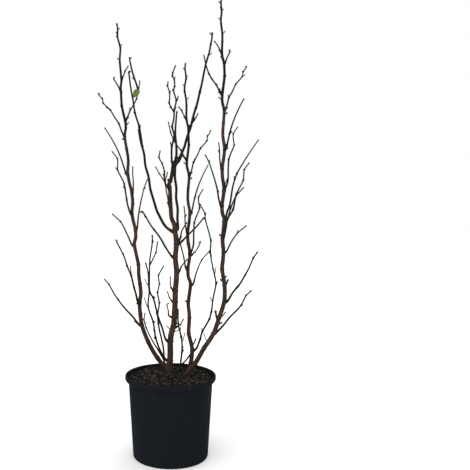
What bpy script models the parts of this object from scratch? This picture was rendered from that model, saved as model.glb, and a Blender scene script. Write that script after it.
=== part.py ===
"""Potted magnolia: a bare shrub of four stems in a black nursery pot.

The origin is the centre of the pot's flat underside, +Z is up and +Y is the far side. Sizes are
millimetres until a mesh is made in metres. The tables hold sizes as they are seen on the upright
plane through the pot's axis, by an eye EYE_DISTANCE in front of it. A limb that stands further
back or nearer lies along the same lines of sight, so its real size follows its depth.
"""

import math
import random
from collections import namedtuple

import bpy
import numpy as np
from mathutils import Vector

MM = 0.001
SEED = 1207

# Eye that the seen sizes belong to
EYE_DISTANCE = 2100.0
EYE_HEIGHT = 820.0

# Pot
POT_HEIGHT = 250.0
POT_BASE_RADIUS = 115.5
POT_NECK_RADIUS = 129.5
POT_NECK_HEIGHT = 229.0
POT_RIM_RADIUS = 140.0
POT_RIM_DEPTH = 18.0
POT_RIM_ROLL = 3.5
POT_LIP_CURVE = 7.0
POT_FOOT_ROUND = 4.0
POT_WALL = 2.2
POT_FLOOR = 3.0
POT_SEGMENTS = 48

# Potting soil
SOIL_LEVEL = 240.0
SOIL_PLATEAU = 96.0
SOIL_EDGE_DROP = 5.0

# Clearances between neighbouring solids
GAP = 0.3
LIMB_CLEARANCE = 1.5

# Stems
CANE_TIP_RADIUS = 2.6
CANE_FOOT_RADIUS = 7.4
CANE_TAPER_LENGTH = 1130.0
CANE_TAPER_POWER = 0.8
CANE_KINK = 5.3
CANE_KINK_START = 150.0
CANE_KINK_LENGTH = 45.0
CANE_KNEE = 5.4
CANE_KNEE_DROP = 890.0
CANE_KNEE_LENGTH = 70.0
CANE_SWEEP_START = 895.0
CANE_SWEEP_LENGTH = 250.0
CANE_SWEEP_REACH = 99.0
CANE_SWEEP_POWER = 1.85
CANE_TOP_MASS = 398.0
KINK_MARGIN = 12.0
FLARE = 0.35
FLARE_LENGTH = 14.0

# Shoots
SHOOT_TIP_RADIUS = 1.8
SHOOT_FOOT_RADIUS = 2.1
SHOOT_THICKENING = 0.0045
SPREAD = 0.6
LEAST_SPREAD = 0.2
COLLAR = 4.5
COLLAR_LENGTH = 6.0
FOOT_STEP = 8.0
SHOOT_STEP = 34.0
# Brings the peak of s (1 - s)^2, and of s^2 (1 - s), to one
BULGE_SCALE = 6.75
FIRST_BUD = 14.0
INTERNODE = 46.0
ZIGZAG = 1.3
BUD_TURN = math.radians(144.0)
BUD_LENGTH = 8.5
BUD_RADIUS = 2.1
BUD_WAIST = 0.35
BUD_SINK = 0.2
BUD_SEAT = 0.7
BUD_SPREAD = 0.55
SPUR_SHARE = 0.3
SPUR_LENGTHS = (10.0, 20.0)
SPUR_RADIUS = 1.5
SPUR_SPREAD = 0.9
SPACE_RADIUS = 30.0
HOOK_RADIUS = 4.5
HOOK_TURNS = ((0.4, 1.15), (0.75, 1.15), (1.0, 0.5))

# A twig's end and a spur: shares of their length, and how thick they are there
END_BUD_LENGTH = 10.0
END_BUD_SHAPE = ((0.25, 1.0), (0.55, 1.4), (1.0, 0.3))
SPUR_SHAPE = ((0.0, 1.0), (0.6, 0.85), (0.8, 1.3), (1.1, 0.35))

STEM_SIDES = 8
TWIG_SIDES = 5
SPUR_SIDES = 4
SMOOTH_ANGLE = math.radians(50.0)

BARK_BROWN = (0.040, 0.024, 0.018)
TWIG_DARK = (0.018, 0.018, 0.012)
POT_BLACK = (0.012, 0.014, 0.016)
SOIL_BROWN = (0.020, 0.014, 0.010)

# A cane is given by its tip, its lean in degrees and the depth of its tip and foot. Its shoots
# are the shared ones below, outwards for mirror 1 being +X, with their depth times turn.
Cane = namedtuple("Cane", "side height mirror lean tip_back foot_back turn shoots")
CANES = {
    "right": Cane(156.5, 1406.5, 1, 0.05, -80.0, -2.0, 1, "abcdefghikl"),
    "middle": Cane(45.9, 1211.5, 1, -0.5, 130.0, 32.0, -1, "abcdef"),
    "left": Cane(-165.3, 1331.5, -1, 5.3, 95.0, 54.0, -1, "abcefjk"),
}

# Kinks that the canes share: how far out the wood is pushed at some drops below the tip. Each lies
# a little above the shoots of its knot.
CANE_KINKS = ((0, 0), (18, -2), (45, 0), (75, -3), (112, 1), (173, -1), (201, 2), (240, 2), (275, 0),
              (318, -3), (345, 2), (420, -2), (458, 3), (485, 2), (517, -2), (548, -2), (580, 2),
              (605, 1), (630, -2), (660, -2), (677, 3), (710, 1), (745, -2), (773, 0), (800, -1),
              (832, -4), (880, 1), (923, 2), (965, 3), (1022, 3), (1052, 0), (1075, -4), (1120, -1))

# A shoot leaves its limb drop below that limb's top, reaches outwards (minus is inwards) and
# rises, and bulges by low and high from a straight line. back is its way in depth: 1 or -1 for
# as much as the spread leaves, or any share of it.
Shoot = namedtuple("Shoot", "drop reach rise low high back hook")
CANE_TOP_SHOOTS = {
    "w": Shoot(181, -23, 43, -1, -3, 1, 0),
    "x": Shoot(209, 17, 40, 0, 0, -1, 100),
    "y": Shoot(301, -57, 117, 0, 10, -1, 0),
    "z": Shoot(353, 66, 136, -6, 0, 1, 160),
}
CANE_SHOOTS = {
    "a": Shoot(466, 57, 149, -3, -4, -1, 0),
    "b": Shoot(525, -11, 78, 3, -4, 1, 0),
    "c": Shoot(588, 41, 192, 4, -7, 1, 0),
    "d": Shoot(593, 32, 35, -4, 6, -1, 100),
    "e": Shoot(638, -51, 151, -1, -5, -1, 0),
    "f": Shoot(685, 57, 100, -3, -7, -1, 0),
    "g": Shoot(686, 104, 250, -6, -14, 1, 0),
    "h": Shoot(734, 77, 222, -3, -3, -1, 0),
    "i": Shoot(781, 68, 80, -2, -7, 1, 0),
    "j": Shoot(863, 53, 191, -3, -5, 1, 100),
    "k": Shoot(931, 101, 148, -1, 6, -1, 0),
    "l": Shoot(1030, 114, 129, 0, 4, 1, 0),
}

# Limbs and twigs that have no twin: the limb they stand on, then the same sizes as a shoot's,
# their foot and tip radius, and the mass they are fused into, if any.
Growth = namedtuple("Growth", "on shoot foot_radius tip_radius mass")
TRUNK_FOOT = (-3.1, 26.0)
TRUNK_RADII = (9.8, 7.8)
TRUNK = Shoot(0, 16, 462, 2, 10, -0.06, 0)
TRUNK_KINKS = ((0, 0), (60, 0), (95, -3), (140, 0), (203, 1), (262, 4), (305, 3), (336, -3),
               (370, -2), (395, 1), (462, 0))
GROWTHS = {
    "leader_bough": Growth("centre_stem", Shoot(0, -5, 185, 9, 5, 0, 0), 6.1, 5.1, None),
    "left_bough_lower": Growth("centre_stem", Shoot(16, -56, 60, 8, 2, -0.5, 0), 4.4, 4.1, None),
    "left_bough_upper": Growth("left_bough_lower", Shoot(0, -56, 249, -4, 0, -0.3, 0), 4.1, 3.4, None),
    "right_bough_lower": Growth("centre_stem", Shoot(10, 0, 189, 1, -1, -0.35, 0), 4.0, 4.0, None),
    "right_bough_upper": Growth("right_bough_lower", Shoot(0, 48, 123, 8, 2, -0.3, 0), 4.0, 3.9, None),
    "leader_twigs_a": Growth("leader_bough", Shoot(0, 11, 162, -10, 3, 0.2, 0), 4.4, 2.5, None),
    "leader_twigs_b": Growth("leader_bough", Shoot(14, 8, 317, 7, -5, 0.3, 0), 3.4, 2.2, None),
    "leader_twigs_b_fork": Growth("leader_twigs_b", Shoot(138, -19, 88, 10, -1, 0.3, 0), 2.3, 1.9,
                                  "leader_twigs_b"),
    "leader_twigs_b_stub": Growth("leader_twigs_b", Shoot(104, 7, 9, 1, 1, -0.3, 0), 2.0, 1.7,
                                  "leader_twigs_b"),
    "leader_twigs_c": Growth("leader_bough", Shoot(130, -42, 122, -2, -10, 0.6, 0), 3.0, 2.0, None),
    "leader_twigs_c_fork": Growth("leader_twigs_c", Shoot(40, -13, 89, -6, 3, -0.5, 0), 2.2, 1.8,
                                  "leader_twigs_c"),
    "leader_twigs_d": Growth("leader_bough", Shoot(74, -9, 48, 2, 4, -0.8, 0), 2.3, 1.8, None),
    "left_bough_twigs": Growth("left_bough_upper", Shoot(0, -30, 173, 5, -2, -0.3, 100), 3.4, 2.4, None),
    "right_bough_twigs": Growth("right_bough_upper", Shoot(0, 65, 280, -6, 3, -0.3, 0), 3.9, 2.6,
                                None),
    "right_bough_twigs_fork": Growth("right_bough_twigs", Shoot(267, 17, 24, 1, 1, 1, 0), 2.4, 1.8,
                                     "right_bough_twigs"),
    "left_top_fork": Growth("left_top_y", Shoot(30, -29, 103, 0, 1, 1, 0), 2.3, 1.8, "left_top_twigs"),
    "centre_shoot_a": Growth("centre_stem", Shoot(46, 30, 51, 0, -4, -1, 0), 2.8, 1.9, None),
    "centre_shoot_b": Growth("centre_stem", Shoot(56, 83, 77, -2, 3, -1, 0), 3.1, 2.2, None),
    "centre_shoot_c": Growth("centre_stem", Shoot(97, -107, 139, -3, -2, -1, 0), 3.3, 2.3, None),
    "centre_shoot_d": Growth("centre_stem", Shoot(142, 31, 35, -5, 1, -1, 0), 2.5, 1.9, None),
    "centre_shoot_e": Growth("centre_stem", Shoot(201, -16, 38, -1, 3, -1, 0), 2.5, 1.8, None),
    "centre_shoot_f": Growth("centre_stem", Shoot(235, -23, 27, -2, 4, 1, 0), 2.5, 1.8, None),
    "centre_shoot_g": Growth("centre_stem", Shoot(283, -23, 37, 4, -2, -1, 100), 2.5, 1.8, None),
    "centre_shoot_h": Growth("centre_stem", Shoot(311, 29, 18, -2, 3, -1, 0), 2.4, 1.8, None),
    "middle_long_twig": Growth("middle_stem", Shoot(888, 28, 449, 42, 18, 0.1, 0), 3.1, 2.0, None),
    "low_shoot_a": Growth("soil", Shoot(0, -66, 176, -1, 19, 0.4, 0), 3.0, 1.9, None),
    "low_shoot_b": Growth("centre_stem", Shoot(417, -75, 297, 18, 4, -0.4, 0), 3.3, 2.2, None),
    "low_shoot_c": Growth("centre_stem", Shoot(357, -57, 322, 16, 17, -0.3, 0), 3.2, 2.1, None),
    "low_shoot_c_fork": Growth("low_shoot_c", Shoot(90, 25, 70, 3, 1, -0.5, 0), 2.3, 1.8,
                               "low_shoot_c"),
    "low_shoot_d": Growth("soil", Shoot(0, -5, 320, 1, 16, 0.3, 0), 3.1, 2.1, None),
    "low_shoot_e": Growth("soil", Shoot(0, -6, 193, -2, -7, 0.1, 0), 2.3, 1.8, None),
}
SOIL_FEET = {"low_shoot_a": (-14.0, 72.0), "low_shoot_d": (-18.5, 85.0), "low_shoot_e": (29.3, 50.0)}
BOUGHS = ("leader_bough", "left_bough_lower", "left_bough_upper", "right_bough_lower",
          "right_bough_upper")

# A limb is its centre line and radii from foot to tip, with how far each point lies below its top
Limb = namedtuple("Limb", "points radii drops mirror lean turn sides")


def placed(side, back, height):
    """Real point of one that is seen at side and height, and stands back by that much."""
    nearer = 1.0 + back / EYE_DISTANCE
    return np.array([side * nearer, back, EYE_HEIGHT + (height - EYE_HEIGHT) * nearer])


def seen(point):
    """Side and height at which a real point is seen."""
    nearer = 1.0 + point[1] / EYE_DISTANCE
    return point[0] / nearer, EYE_HEIGHT + (point[2] - EYE_HEIGHT) / nearer


def unit(vector):
    return vector / np.linalg.norm(vector)


def outward(limb, reach, rise):
    """Side and height of a step that is given outwards and along a leaning, mirrored limb."""
    lean = math.radians(limb.lean)
    side = limb.mirror * (reach * math.cos(lean) + rise * math.sin(lean))
    return side, rise * math.cos(lean) - reach * math.sin(lean)


def cane_limb(cane):
    """A cane's whole centre line, from the soil to its tip."""
    lean = math.radians(cane.lean)
    drops = np.arange(0.0, 1400.0, 1.0)
    kink = np.clip((drops - CANE_KINK_START) / CANE_KINK_LENGTH, 0.0, 1.0)
    knee = (drops - CANE_KNEE_DROP) / CANE_KNEE_LENGTH
    sweep = np.clip((drops - CANE_SWEEP_START) / CANE_SWEEP_LENGTH, 0.0, None)
    out = CANE_KINK * kink * kink * (3.0 - 2.0 * kink) + CANE_KNEE * np.exp(-knee * knee)
    out = out - CANE_SWEEP_REACH * sweep ** CANE_SWEEP_POWER + np.interp(drops, *zip(*CANE_KINKS))
    sides = cane.side + cane.mirror * (out * math.cos(lean) - drops * math.sin(lean))
    heights = cane.height - drops * math.cos(lean) - out * math.sin(lean)
    foot_seen = seen((0.0, cane.foot_back, SOIL_LEVEL + GAP))[1]
    foot = np.interp(-foot_seen, -heights, drops)
    stations = np.array([foot] + [d for d, _ in CANE_KINKS[::-1] if d < foot - KINK_MARGIN])
    grown = 1.0 - stations / foot
    backs = cane.foot_back + (cane.tip_back - cane.foot_back) * grown * (1.5 - 0.5 * grown)
    points = [placed(np.interp(d, drops, sides), b, np.interp(d, drops, heights))
              for d, b in zip(stations, backs)]
    taper = (stations / CANE_TAPER_LENGTH) ** CANE_TAPER_POWER
    radii = CANE_TIP_RADIUS + (CANE_FOOT_RADIUS - CANE_TIP_RADIUS) * taper
    return Limb(np.array(points), radii, stations, cane.mirror, cane.lean, cane.turn, STEM_SIDES)


def at_drop(limb, drop):
    """Point, direction and radius of a limb at a drop below its top."""
    order = slice(None, None, -1)
    point = np.array([np.interp(drop, limb.drops[order], limb.points[order, axis]) for axis in range(3)])
    radius = np.interp(drop, limb.drops[order], limb.radii[order])
    index = int(np.clip(np.searchsorted(-limb.drops, -drop), 1, len(limb.drops) - 1))
    return point, unit(limb.points[index] - limb.points[index - 1]), radius


def part_of(limb, low, high):
    """The stretch of a limb between two drops, with the limb's own stations."""
    inside = (limb.drops < low - KINK_MARGIN) & (limb.drops > high + KINK_MARGIN)
    stations = np.concatenate([[low], limb.drops[inside], [high]])
    points = np.array([at_drop(limb, drop)[0] for drop in stations])
    radii = np.array([at_drop(limb, drop)[2] for drop in stations])
    return limb._replace(points=points, radii=radii, drops=stations)


def kinked(limb, kinks):
    """A limb pushed sideways at its stations."""
    points = limb.points.copy()
    points[:, 0] += np.interp(limb.drops, *zip(*kinks))
    return limb._replace(points=points)


def depth_of(shoot, limb):
    """How far back a shoot's tip lies from its foot: what its spread leaves beside its reach."""
    whole = (SPREAD * shoot.rise) ** 2 - shoot.reach ** 2
    least = (LEAST_SPREAD * shoot.rise) ** 2
    return limb.turn * shoot.back * math.sqrt(max(whole, least))


def grown_limb(shoot, limb, foot_radius, tip_radius, fused, rng):
    """A shoot's centre line: bulging, turning a little at each bud, and standing GAP clear."""
    start, along, radius = at_drop(limb, shoot.drop)
    start_side, start_height = seen(start)
    out_side, out_height = outward(limb, shoot.reach, shoot.rise)
    end = placed(start_side + out_side, start[1] + depth_of(shoot, limb), start_height + out_height)
    on_end = shoot.drop == 0
    way = math.copysign(1.0, shoot.reach) / math.hypot(shoot.reach, shoot.rise)
    bulge_side, bulge_height = outward(limb, shoot.rise * way, -shoot.reach * way)
    bulge = np.array([bulge_side, 0.0, bulge_height])
    heading = end - start + BULGE_SCALE * shoot.low * bulge
    radial = unit(heading - along * heading.dot(along))
    if on_end:
        start = start + along * GAP
    elif not fused:
        start = start + radial * (radius + GAP)
    chord = end - start
    length = np.linalg.norm(chord)
    steps = max(2, round(length / SHOOT_STEP))
    shares = np.linspace(0.0, 1.0, steps + 1)
    if not on_end and not fused:
        shares = np.insert(shares[1:], 0, [0.0, FOOT_STEP / length])
        if shares[2] - shares[1] < 0.5 * shares[1]:
            shares = np.delete(shares, 2)
    low = shoot.low * BULGE_SCALE * shares * (1.0 - shares) ** 2
    high = shoot.high * BULGE_SCALE * shares ** 2 * (1.0 - shares)
    points = start + np.outer(shares, chord) + np.outer(low + high, bulge)
    if on_end:
        points += np.outer(shares * (1.0 - shares) ** 2, along * length - chord)
    elif not fused:
        collar = COLLAR * (1.0 - np.exp(-shares * length / COLLAR_LENGTH)) * (1.0 - shares)
        points += np.outer(collar, radial)
    turn = rng.uniform(0.0, 2.0 * math.pi)
    across = unit(np.cross(chord, (0.0, 1.0, 0.0)))
    depthwise = np.cross(across, unit(chord))
    sideways = across * math.cos(turn) + depthwise * math.sin(turn)
    for index in range(2, len(points) - 1):
        points[index] += sideways * ZIGZAG * (-1.0) ** index
    radii = foot_radius + (tip_radius - foot_radius) * shares
    heights = np.array([seen(point)[1] for point in points])
    drops = np.maximum.accumulate((heights[-1] - heights)[::-1])[::-1]
    return Limb(points, radii, drops, limb.mirror, limb.lean, limb.turn, TWIG_SIDES)


def with_tip(limb, hook, inward):
    """Ends a twig in its pointed bud, bent over inwards by the angle hook."""
    points, radii = list(limb.points), list(limb.radii)
    ahead = unit(points[-1] - points[-2])
    tip, thin = points[-1], radii[-1]
    if hook:
        aside = unit(inward - ahead * inward.dot(ahead))
        for turn, swell in HOOK_TURNS:
            angle = hook * turn
            arc = ahead * math.sin(angle) + aside * (1.0 - math.cos(angle))
            points.append(tip + arc * HOOK_RADIUS)
            radii.append(thin * swell)
    else:
        for share, swell in END_BUD_SHAPE:
            points.append(tip + ahead * END_BUD_LENGTH * share)
            radii.append(thin * swell)
    return limb._replace(points=np.array(points), radii=np.array(radii))


def frames(points):
    """Two directions across a line at each of its points, carried along without twist."""
    tangents = [unit(points[min(i + 1, len(points) - 1)] - points[max(i - 1, 0)])
                for i in range(len(points))]
    tangents[0] = unit(points[1] - points[0])
    across = unit(np.cross(tangents[0], (0.0, 1.0, 0.05)))
    pairs = []
    for tangent in tangents:
        across = unit(across - tangent * across.dot(tangent))
        pairs.append((across, np.cross(tangent, across)))
    return tangents, pairs


def slid_to_limb(point, way, limb_point, limb_way, clear):
    """Slides a point along way until it lies clear of a limb's axis by that much."""
    offset = point - limb_point
    offset = offset - limb_way * offset.dot(limb_way)
    flat = way - limb_way * way.dot(limb_way)
    a, b, c = flat.dot(flat), 2.0 * offset.dot(flat), offset.dot(offset) - clear ** 2
    root = math.sqrt(max(b * b - 4.0 * a * c, 0.0))
    return point + way * (root - b) / (2.0 * a)


def slid_to_plane(point, way, plane_point, normal):
    """Slides a point along way onto a plane."""
    return point + way * (plane_point - point).dot(normal) / way.dot(normal)


def tube(points, radii, sides, slide=None):
    """Closed tube round a line. slide moves its first ring onto what it stands on."""
    tangents, pairs = frames(points)
    verts, faces = [], []
    for index, (point, radius) in enumerate(zip(points, radii)):
        for side in range(sides):
            angle = 2.0 * math.pi * side / sides
            vert = point + (pairs[index][0] * math.cos(angle) + pairs[index][1] * math.sin(angle)) * radius
            verts.append(slide(vert, tangents[0]) if slide and index == 0 else vert)
    for ring in range(len(points) - 1):
        for side in range(sides):
            a, b = ring * sides + side, ring * sides + (side + 1) % sides
            faces.append((a, b, b + sides, a + sides))
    last = (len(points) - 1) * sides
    foot = slide(points[0], tangents[0]) if slide else points[0]
    verts.append(foot)
    faces += [((side + 1) % sides, side, len(verts) - 1) for side in range(sides)]
    faces.append(tuple(last + side for side in range(sides)))
    return verts, faces


def bud(point, way, length, radius):
    """Pointed bud of eight faces, thickest at BUD_WAIST of its length, with its foot sunk in."""
    tangents, pairs = frames(np.array([point, point + way]))
    across, over = pairs[0]
    middle = point + way * length * BUD_WAIST
    verts = [point - way * length * BUD_SINK, point + way * length]
    verts += [middle + across * radius, middle + over * radius, middle - across * radius,
              middle - over * radius]
    faces = []
    for side in range(4):
        a, b = 2 + side, 2 + (side + 1) % 4
        faces += [(b, a, 0), (a, b, 1)]
    return verts, faces


def material(name, colour, roughness):
    made = bpy.data.materials.new(name)
    made.use_nodes = True
    shader = made.node_tree.nodes["Principled BSDF"]
    shader.inputs["Base Color"].default_value = (*colour, 1.0)
    shader.inputs["Roughness"].default_value = roughness
    shader.inputs["Metallic"].default_value = 0.0
    return made


def add_object(name, shape, finish, collection=None):
    """An object whose mesh is given in millimetres."""
    verts, faces = shape
    mesh = bpy.data.meshes.new(name)
    mesh.from_pydata([Vector(vert) * MM for vert in verts], [], faces)
    mesh.materials.append(finish)
    mesh.shade_smooth()
    mesh.set_sharp_from_angle(angle=SMOOTH_ANGLE)
    made = bpy.data.objects.new(name, mesh)
    (collection or bpy.context.scene.collection).objects.link(made)
    return made


def fuse(core, collection):
    """Joins a collection's objects to core in one Boolean union, and removes them."""
    union = core.modifiers.new("union", "BOOLEAN")
    union.operation = "UNION"
    union.operand_type = "COLLECTION"
    union.collection = collection
    union.solver = "EXACT"
    bpy.context.view_layer.update()
    graph = bpy.context.evaluated_depsgraph_get()
    mesh = bpy.data.meshes.new_from_object(core.evaluated_get(graph))
    core.modifiers.clear()
    core.data = mesh
    for piece in list(collection.objects):
        bpy.data.objects.remove(piece)
    bpy.data.collections.remove(collection)


def turned(profile, segments):
    """Solid turned round the Z axis from a profile that starts and ends on it."""
    verts = [(0.0, 0.0, profile[0][1])]
    for radius, height in profile[1:-1]:
        for side in range(segments):
            angle = 2.0 * math.pi * side / segments
            verts.append((radius * math.cos(angle), radius * math.sin(angle), height))
    verts.append((0.0, 0.0, profile[-1][1]))
    last = len(verts) - 1
    rings = len(profile) - 2
    faces = [(0, 1 + (side + 1) % segments, 1 + side) for side in range(segments)]
    for ring in range(rings - 1):
        for side in range(segments):
            a, b = 1 + ring * segments + side, 1 + ring * segments + (side + 1) % segments
            faces.append((a, b, b + segments, a + segments))
    base = 1 + (rings - 1) * segments
    faces += [(base + side, base + (side + 1) % segments, last) for side in range(segments)]
    return verts, faces


def body_radius(height):
    """Outer radius of the pot's tapering body."""
    return POT_BASE_RADIUS + (POT_NECK_RADIUS - POT_BASE_RADIUS) * height / POT_NECK_HEIGHT


def pot_profile():
    """Underside, body, flared and rolled rim, inner wall and floor."""
    foot, roll, curve = POT_FOOT_ROUND, POT_RIM_ROLL, POT_LIP_CURVE
    lip = POT_HEIGHT - POT_RIM_DEPTH
    profile = [(0.0, 0.0), (POT_BASE_RADIUS - foot, 0.0)]
    profile.append((body_radius(foot) - 0.3 * foot, 0.3 * foot))
    profile += [(body_radius(foot), foot), (POT_NECK_RADIUS, POT_NECK_HEIGHT)]
    profile.append((POT_RIM_RADIUS - 0.35 * curve, lip + 0.3 * curve))
    profile.append((POT_RIM_RADIUS, lip + curve))
    for step in range(5):
        angle = math.pi * step / 4.0
        side, up = roll * math.cos(angle), roll * math.sin(angle)
        profile.append((POT_RIM_RADIUS - roll + side, POT_HEIGHT - roll + up))
    neck = POT_NECK_RADIUS - POT_WALL
    profile += [(neck + 0.2 * curve, lip + 0.4 * curve), (neck, POT_NECK_HEIGHT)]
    profile += [(body_radius(POT_FLOOR) - POT_WALL, POT_FLOOR), (0.0, POT_FLOOR)]
    return profile


def soil_profile():
    """Filling that stands GAP inside the pot, level round the stems and lower at its edge."""
    inside = POT_WALL + GAP
    bottom = POT_FLOOR + GAP
    neck = POT_NECK_RADIUS - inside
    profile = [(0.0, bottom), (body_radius(bottom) - inside, bottom), (neck, POT_NECK_HEIGHT)]
    profile.append((neck + 0.2 * POT_LIP_CURVE, SOIL_LEVEL - SOIL_EDGE_DROP))
    return profile + [(SOIL_PLATEAU, SOIL_LEVEL), (0.0, SOIL_LEVEL)]


def clear_of_others(points, radius, own, samples):
    """Whether points stay clear of every limb that isn't in own."""
    for name, (centres, radii) in samples.items():
        if name in own:
            continue
        for point in points:
            distance = np.linalg.norm(centres - point, axis=1) - radii
            if distance.min() < radius + LIMB_CLEARANCE:
                return False
    return True


def sampled(limb):
    """Closely spaced centres and radii of a limb, for clearances."""
    lengths = np.linalg.norm(np.diff(limb.points, axis=0), axis=1)
    travel = np.concatenate([[0.0], np.cumsum(lengths)])
    spots = np.arange(0.0, travel[-1], 2.0)
    centres = np.stack([np.interp(spots, travel, limb.points[:, axis]) for axis in range(3)], axis=1)
    return centres, np.interp(spots, travel, limb.radii)


def in_space(point, limb):
    """Whether a point lies in the space of a mass round the limb that it grows from."""
    foot, tip = limb.points[0], limb.points[-1]
    chord = tip - foot
    share = (point - foot).dot(chord) / chord.dot(chord)
    aside = np.linalg.norm(point - foot - chord * share)
    return 0.0 < share < 1.05 and aside < SPACE_RADIUS + 0.1 * np.linalg.norm(chord)


def add_buds(limb, own, samples, rng, finish, collection, first):
    """Buds, and now and then a spur, turning round a twig by BUD_TURN at each internode."""
    lengths = np.linalg.norm(np.diff(limb.points, axis=0), axis=1)
    travel = np.concatenate([[0.0], np.cumsum(lengths)])
    turn = rng.uniform(0.0, 2.0 * math.pi)
    spot = first
    while spot < travel[-1] - 0.4 * INTERNODE:
        centre = np.array([np.interp(spot, travel, limb.points[:, axis]) for axis in range(3)])
        index = int(np.searchsorted(travel, spot))
        ahead = unit(limb.points[index] - limb.points[index - 1])
        across = unit(np.cross(ahead, (0.0, 1.0, 0.05)))
        over = np.cross(ahead, across)
        aside = across * math.cos(turn) + over * math.sin(turn)
        thick = np.interp(spot, travel, limb.radii)
        spur_length = rng.uniform(*SPUR_LENGTHS)
        is_spur = rng.random() < SPUR_SHARE
        way = unit(ahead + aside * SPUR_SPREAD)
        line = [centre + way * spur_length * share for share, _ in SPUR_SHAPE]
        if is_spur and in_space(line[-1], limb) and clear_of_others(line[1:], SPUR_RADIUS, own, samples):
            shape = tube(np.array(line), [SPUR_RADIUS * swell for _, swell in SPUR_SHAPE], SPUR_SIDES)
            add_object("spur", shape, finish, collection)
        elif clear_of_others([centre + way * BUD_WAIST * BUD_LENGTH], BUD_RADIUS, own, samples):
            way = unit(ahead + aside * BUD_SPREAD)
            shape = bud(centre + aside * thick * BUD_SEAT, way, BUD_LENGTH, BUD_RADIUS)
            add_object("bud", shape, finish, collection)
        turn += BUD_TURN
        spot += INTERNODE * rng.uniform(0.85, 1.15)


def seat(limb, drop):
    """The slide that seats a foot round the limb that it leaves, or across that limb's end."""
    point, along, radius = at_drop(limb, drop)
    if drop == 0:
        return lambda vert, way: slid_to_plane(vert, way, point + along * GAP, along)
    return lambda vert, way: slid_to_limb(vert, way, point, along, radius + GAP)


def soil_stand(side, back):
    """Upright stub under the soil's surface, for what grows out of it."""
    foot = placed(side, back, 0.0)
    points = np.array([(foot[0], foot[1], SOIL_LEVEL - 10.0), (foot[0], foot[1], SOIL_LEVEL)])
    return Limb(points, np.zeros(2), np.array([10.0, 0.0]), 1, 0.0, 1, STEM_SIDES)


def flared(limb):
    """Widens a stem towards its foot."""
    above = limb.points[:, 2] - limb.points[0, 2]
    return limb._replace(radii=limb.radii * (1.0 + FLARE * np.exp(-above / FLARE_LENGTH)))


class Shrub:
    """Every limb with its foot's seat, and the masses that limbs are fused into."""

    def __init__(self):
        self.limbs, self.seats, self.masses, self.hooks = {}, {}, {}, {}
        self.rng = random.Random(SEED)
        for name, cane in CANES.items():
            self.grow_cane(name, cane)
        ground = soil_stand(*TRUNK_FOOT)
        trunk = kinked(grown_limb(TRUNK, ground, *TRUNK_RADII, False, self.rng), TRUNK_KINKS)
        self.limbs["centre_stem"] = flared(trunk)._replace(sides=STEM_SIDES)
        self.seats["centre_stem"] = seat(ground, 0)
        for name, growth in GROWTHS.items():
            self.grow(name, growth)

    def grow_cane(self, name, cane):
        whole = cane_limb(cane)
        stem = flared(part_of(whole, whole.drops[0], CANE_TOP_MASS))
        self.limbs[f"{name}_stem"] = stem
        self.seats[f"{name}_stem"] = seat(soil_stand(*seen(whole.points[0])), 0)
        top = part_of(whole, CANE_TOP_MASS - GAP, 0.0)
        mass = f"{name}_top_twigs"
        self.limbs[mass] = top._replace(sides=TWIG_SIDES + 1)
        self.seats[mass] = seat(stem._replace(drops=stem.drops - CANE_TOP_MASS), 0)
        self.masses[mass] = [mass]
        for letter, shoot in CANE_TOP_SHOOTS.items():
            self.add_twig(f"{name}_top_{letter}", shoot, whole, mass)
        for letter in cane.shoots:
            self.add_twig(f"{name}_shoot_{letter}", CANE_SHOOTS[letter], whole, None)

    def add_twig(self, name, shoot, parent, mass, foot_radius=None, tip_radius=SHOOT_TIP_RADIUS):
        foot_radius = foot_radius or SHOOT_FOOT_RADIUS + SHOOT_THICKENING * math.hypot(*shoot[1:3])
        self.limbs[name] = grown_limb(shoot, parent, foot_radius, tip_radius, bool(mass), self.rng)
        self.masses.setdefault(mass or name, []).append(name)
        self.hooks[name] = math.radians(shoot.hook)
        if not mass:
            self.seats[name] = seat(parent, shoot.drop)

    def grow(self, name, growth):
        parent = soil_stand(*SOIL_FEET[name]) if growth.on == "soil" else self.limbs[growth.on]
        parent = parent._replace(mirror=1, lean=0.0, turn=1)
        self.add_twig(name, growth.shoot, parent, growth.mass, growth.foot_radius, growth.tip_radius)
        if name in BOUGHS:
            self.limbs[name] = self.limbs[name]._replace(sides=STEM_SIDES)
            del self.masses[name]


def add_shrub(bark, twig):
    shrub = Shrub()
    samples = {name: sampled(limb) for name, limb in shrub.limbs.items()}
    for name, limb in shrub.limbs.items():
        if name in shrub.masses or any(name in mass for mass in shrub.masses.values()):
            continue
        add_object(name, tube(limb.points, limb.radii, limb.sides, shrub.seats.get(name)), bark)
    for name, members in shrub.masses.items():
        pieces = bpy.data.collections.new(name)
        bpy.context.scene.collection.children.link(pieces)
        core = None
        for member in members:
            limb = shrub.limbs[member]
            inward = (limb.points[0] - limb.points[-1]) * (1.0, 1.0, 0.0)
            tipped = with_tip(limb, shrub.hooks.get(member, 0.0), inward)
            shape = tube(tipped.points, tipped.radii, tipped.sides, shrub.seats.get(member))
            made = add_object(member, shape, twig, None if member == name else pieces)
            core = core or made
            add_buds(limb, members, samples, shrub.rng, twig, pieces, FIRST_BUD)
        fuse(core, pieces)


def main():
    for old in list(bpy.data.objects):
        bpy.data.objects.remove(old)
    add_object("pot", turned(pot_profile(), POT_SEGMENTS), material("black polypropylene", POT_BLACK, 0.45))
    add_object("potting_soil", turned(soil_profile(), POT_SEGMENTS), material("peat", SOIL_BROWN, 0.95))
    add_shrub(material("magnolia bark", BARK_BROWN, 0.8), material("magnolia twig", TWIG_DARK, 0.7))


main()
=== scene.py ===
"""The looks of a potted magnolia: bark, twigs, buds, pot and potting mix round its solids.

The shrub is grown once more by the rule of its solids, in millimetres, and carried on to knots,
short spurs, buds and the first leaves. Geometry Nodes give the limbs their bark, set the buds and
scatter the potting mix. Everything stands where the solids stand.
"""

import math
import random
from collections import namedtuple

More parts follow.
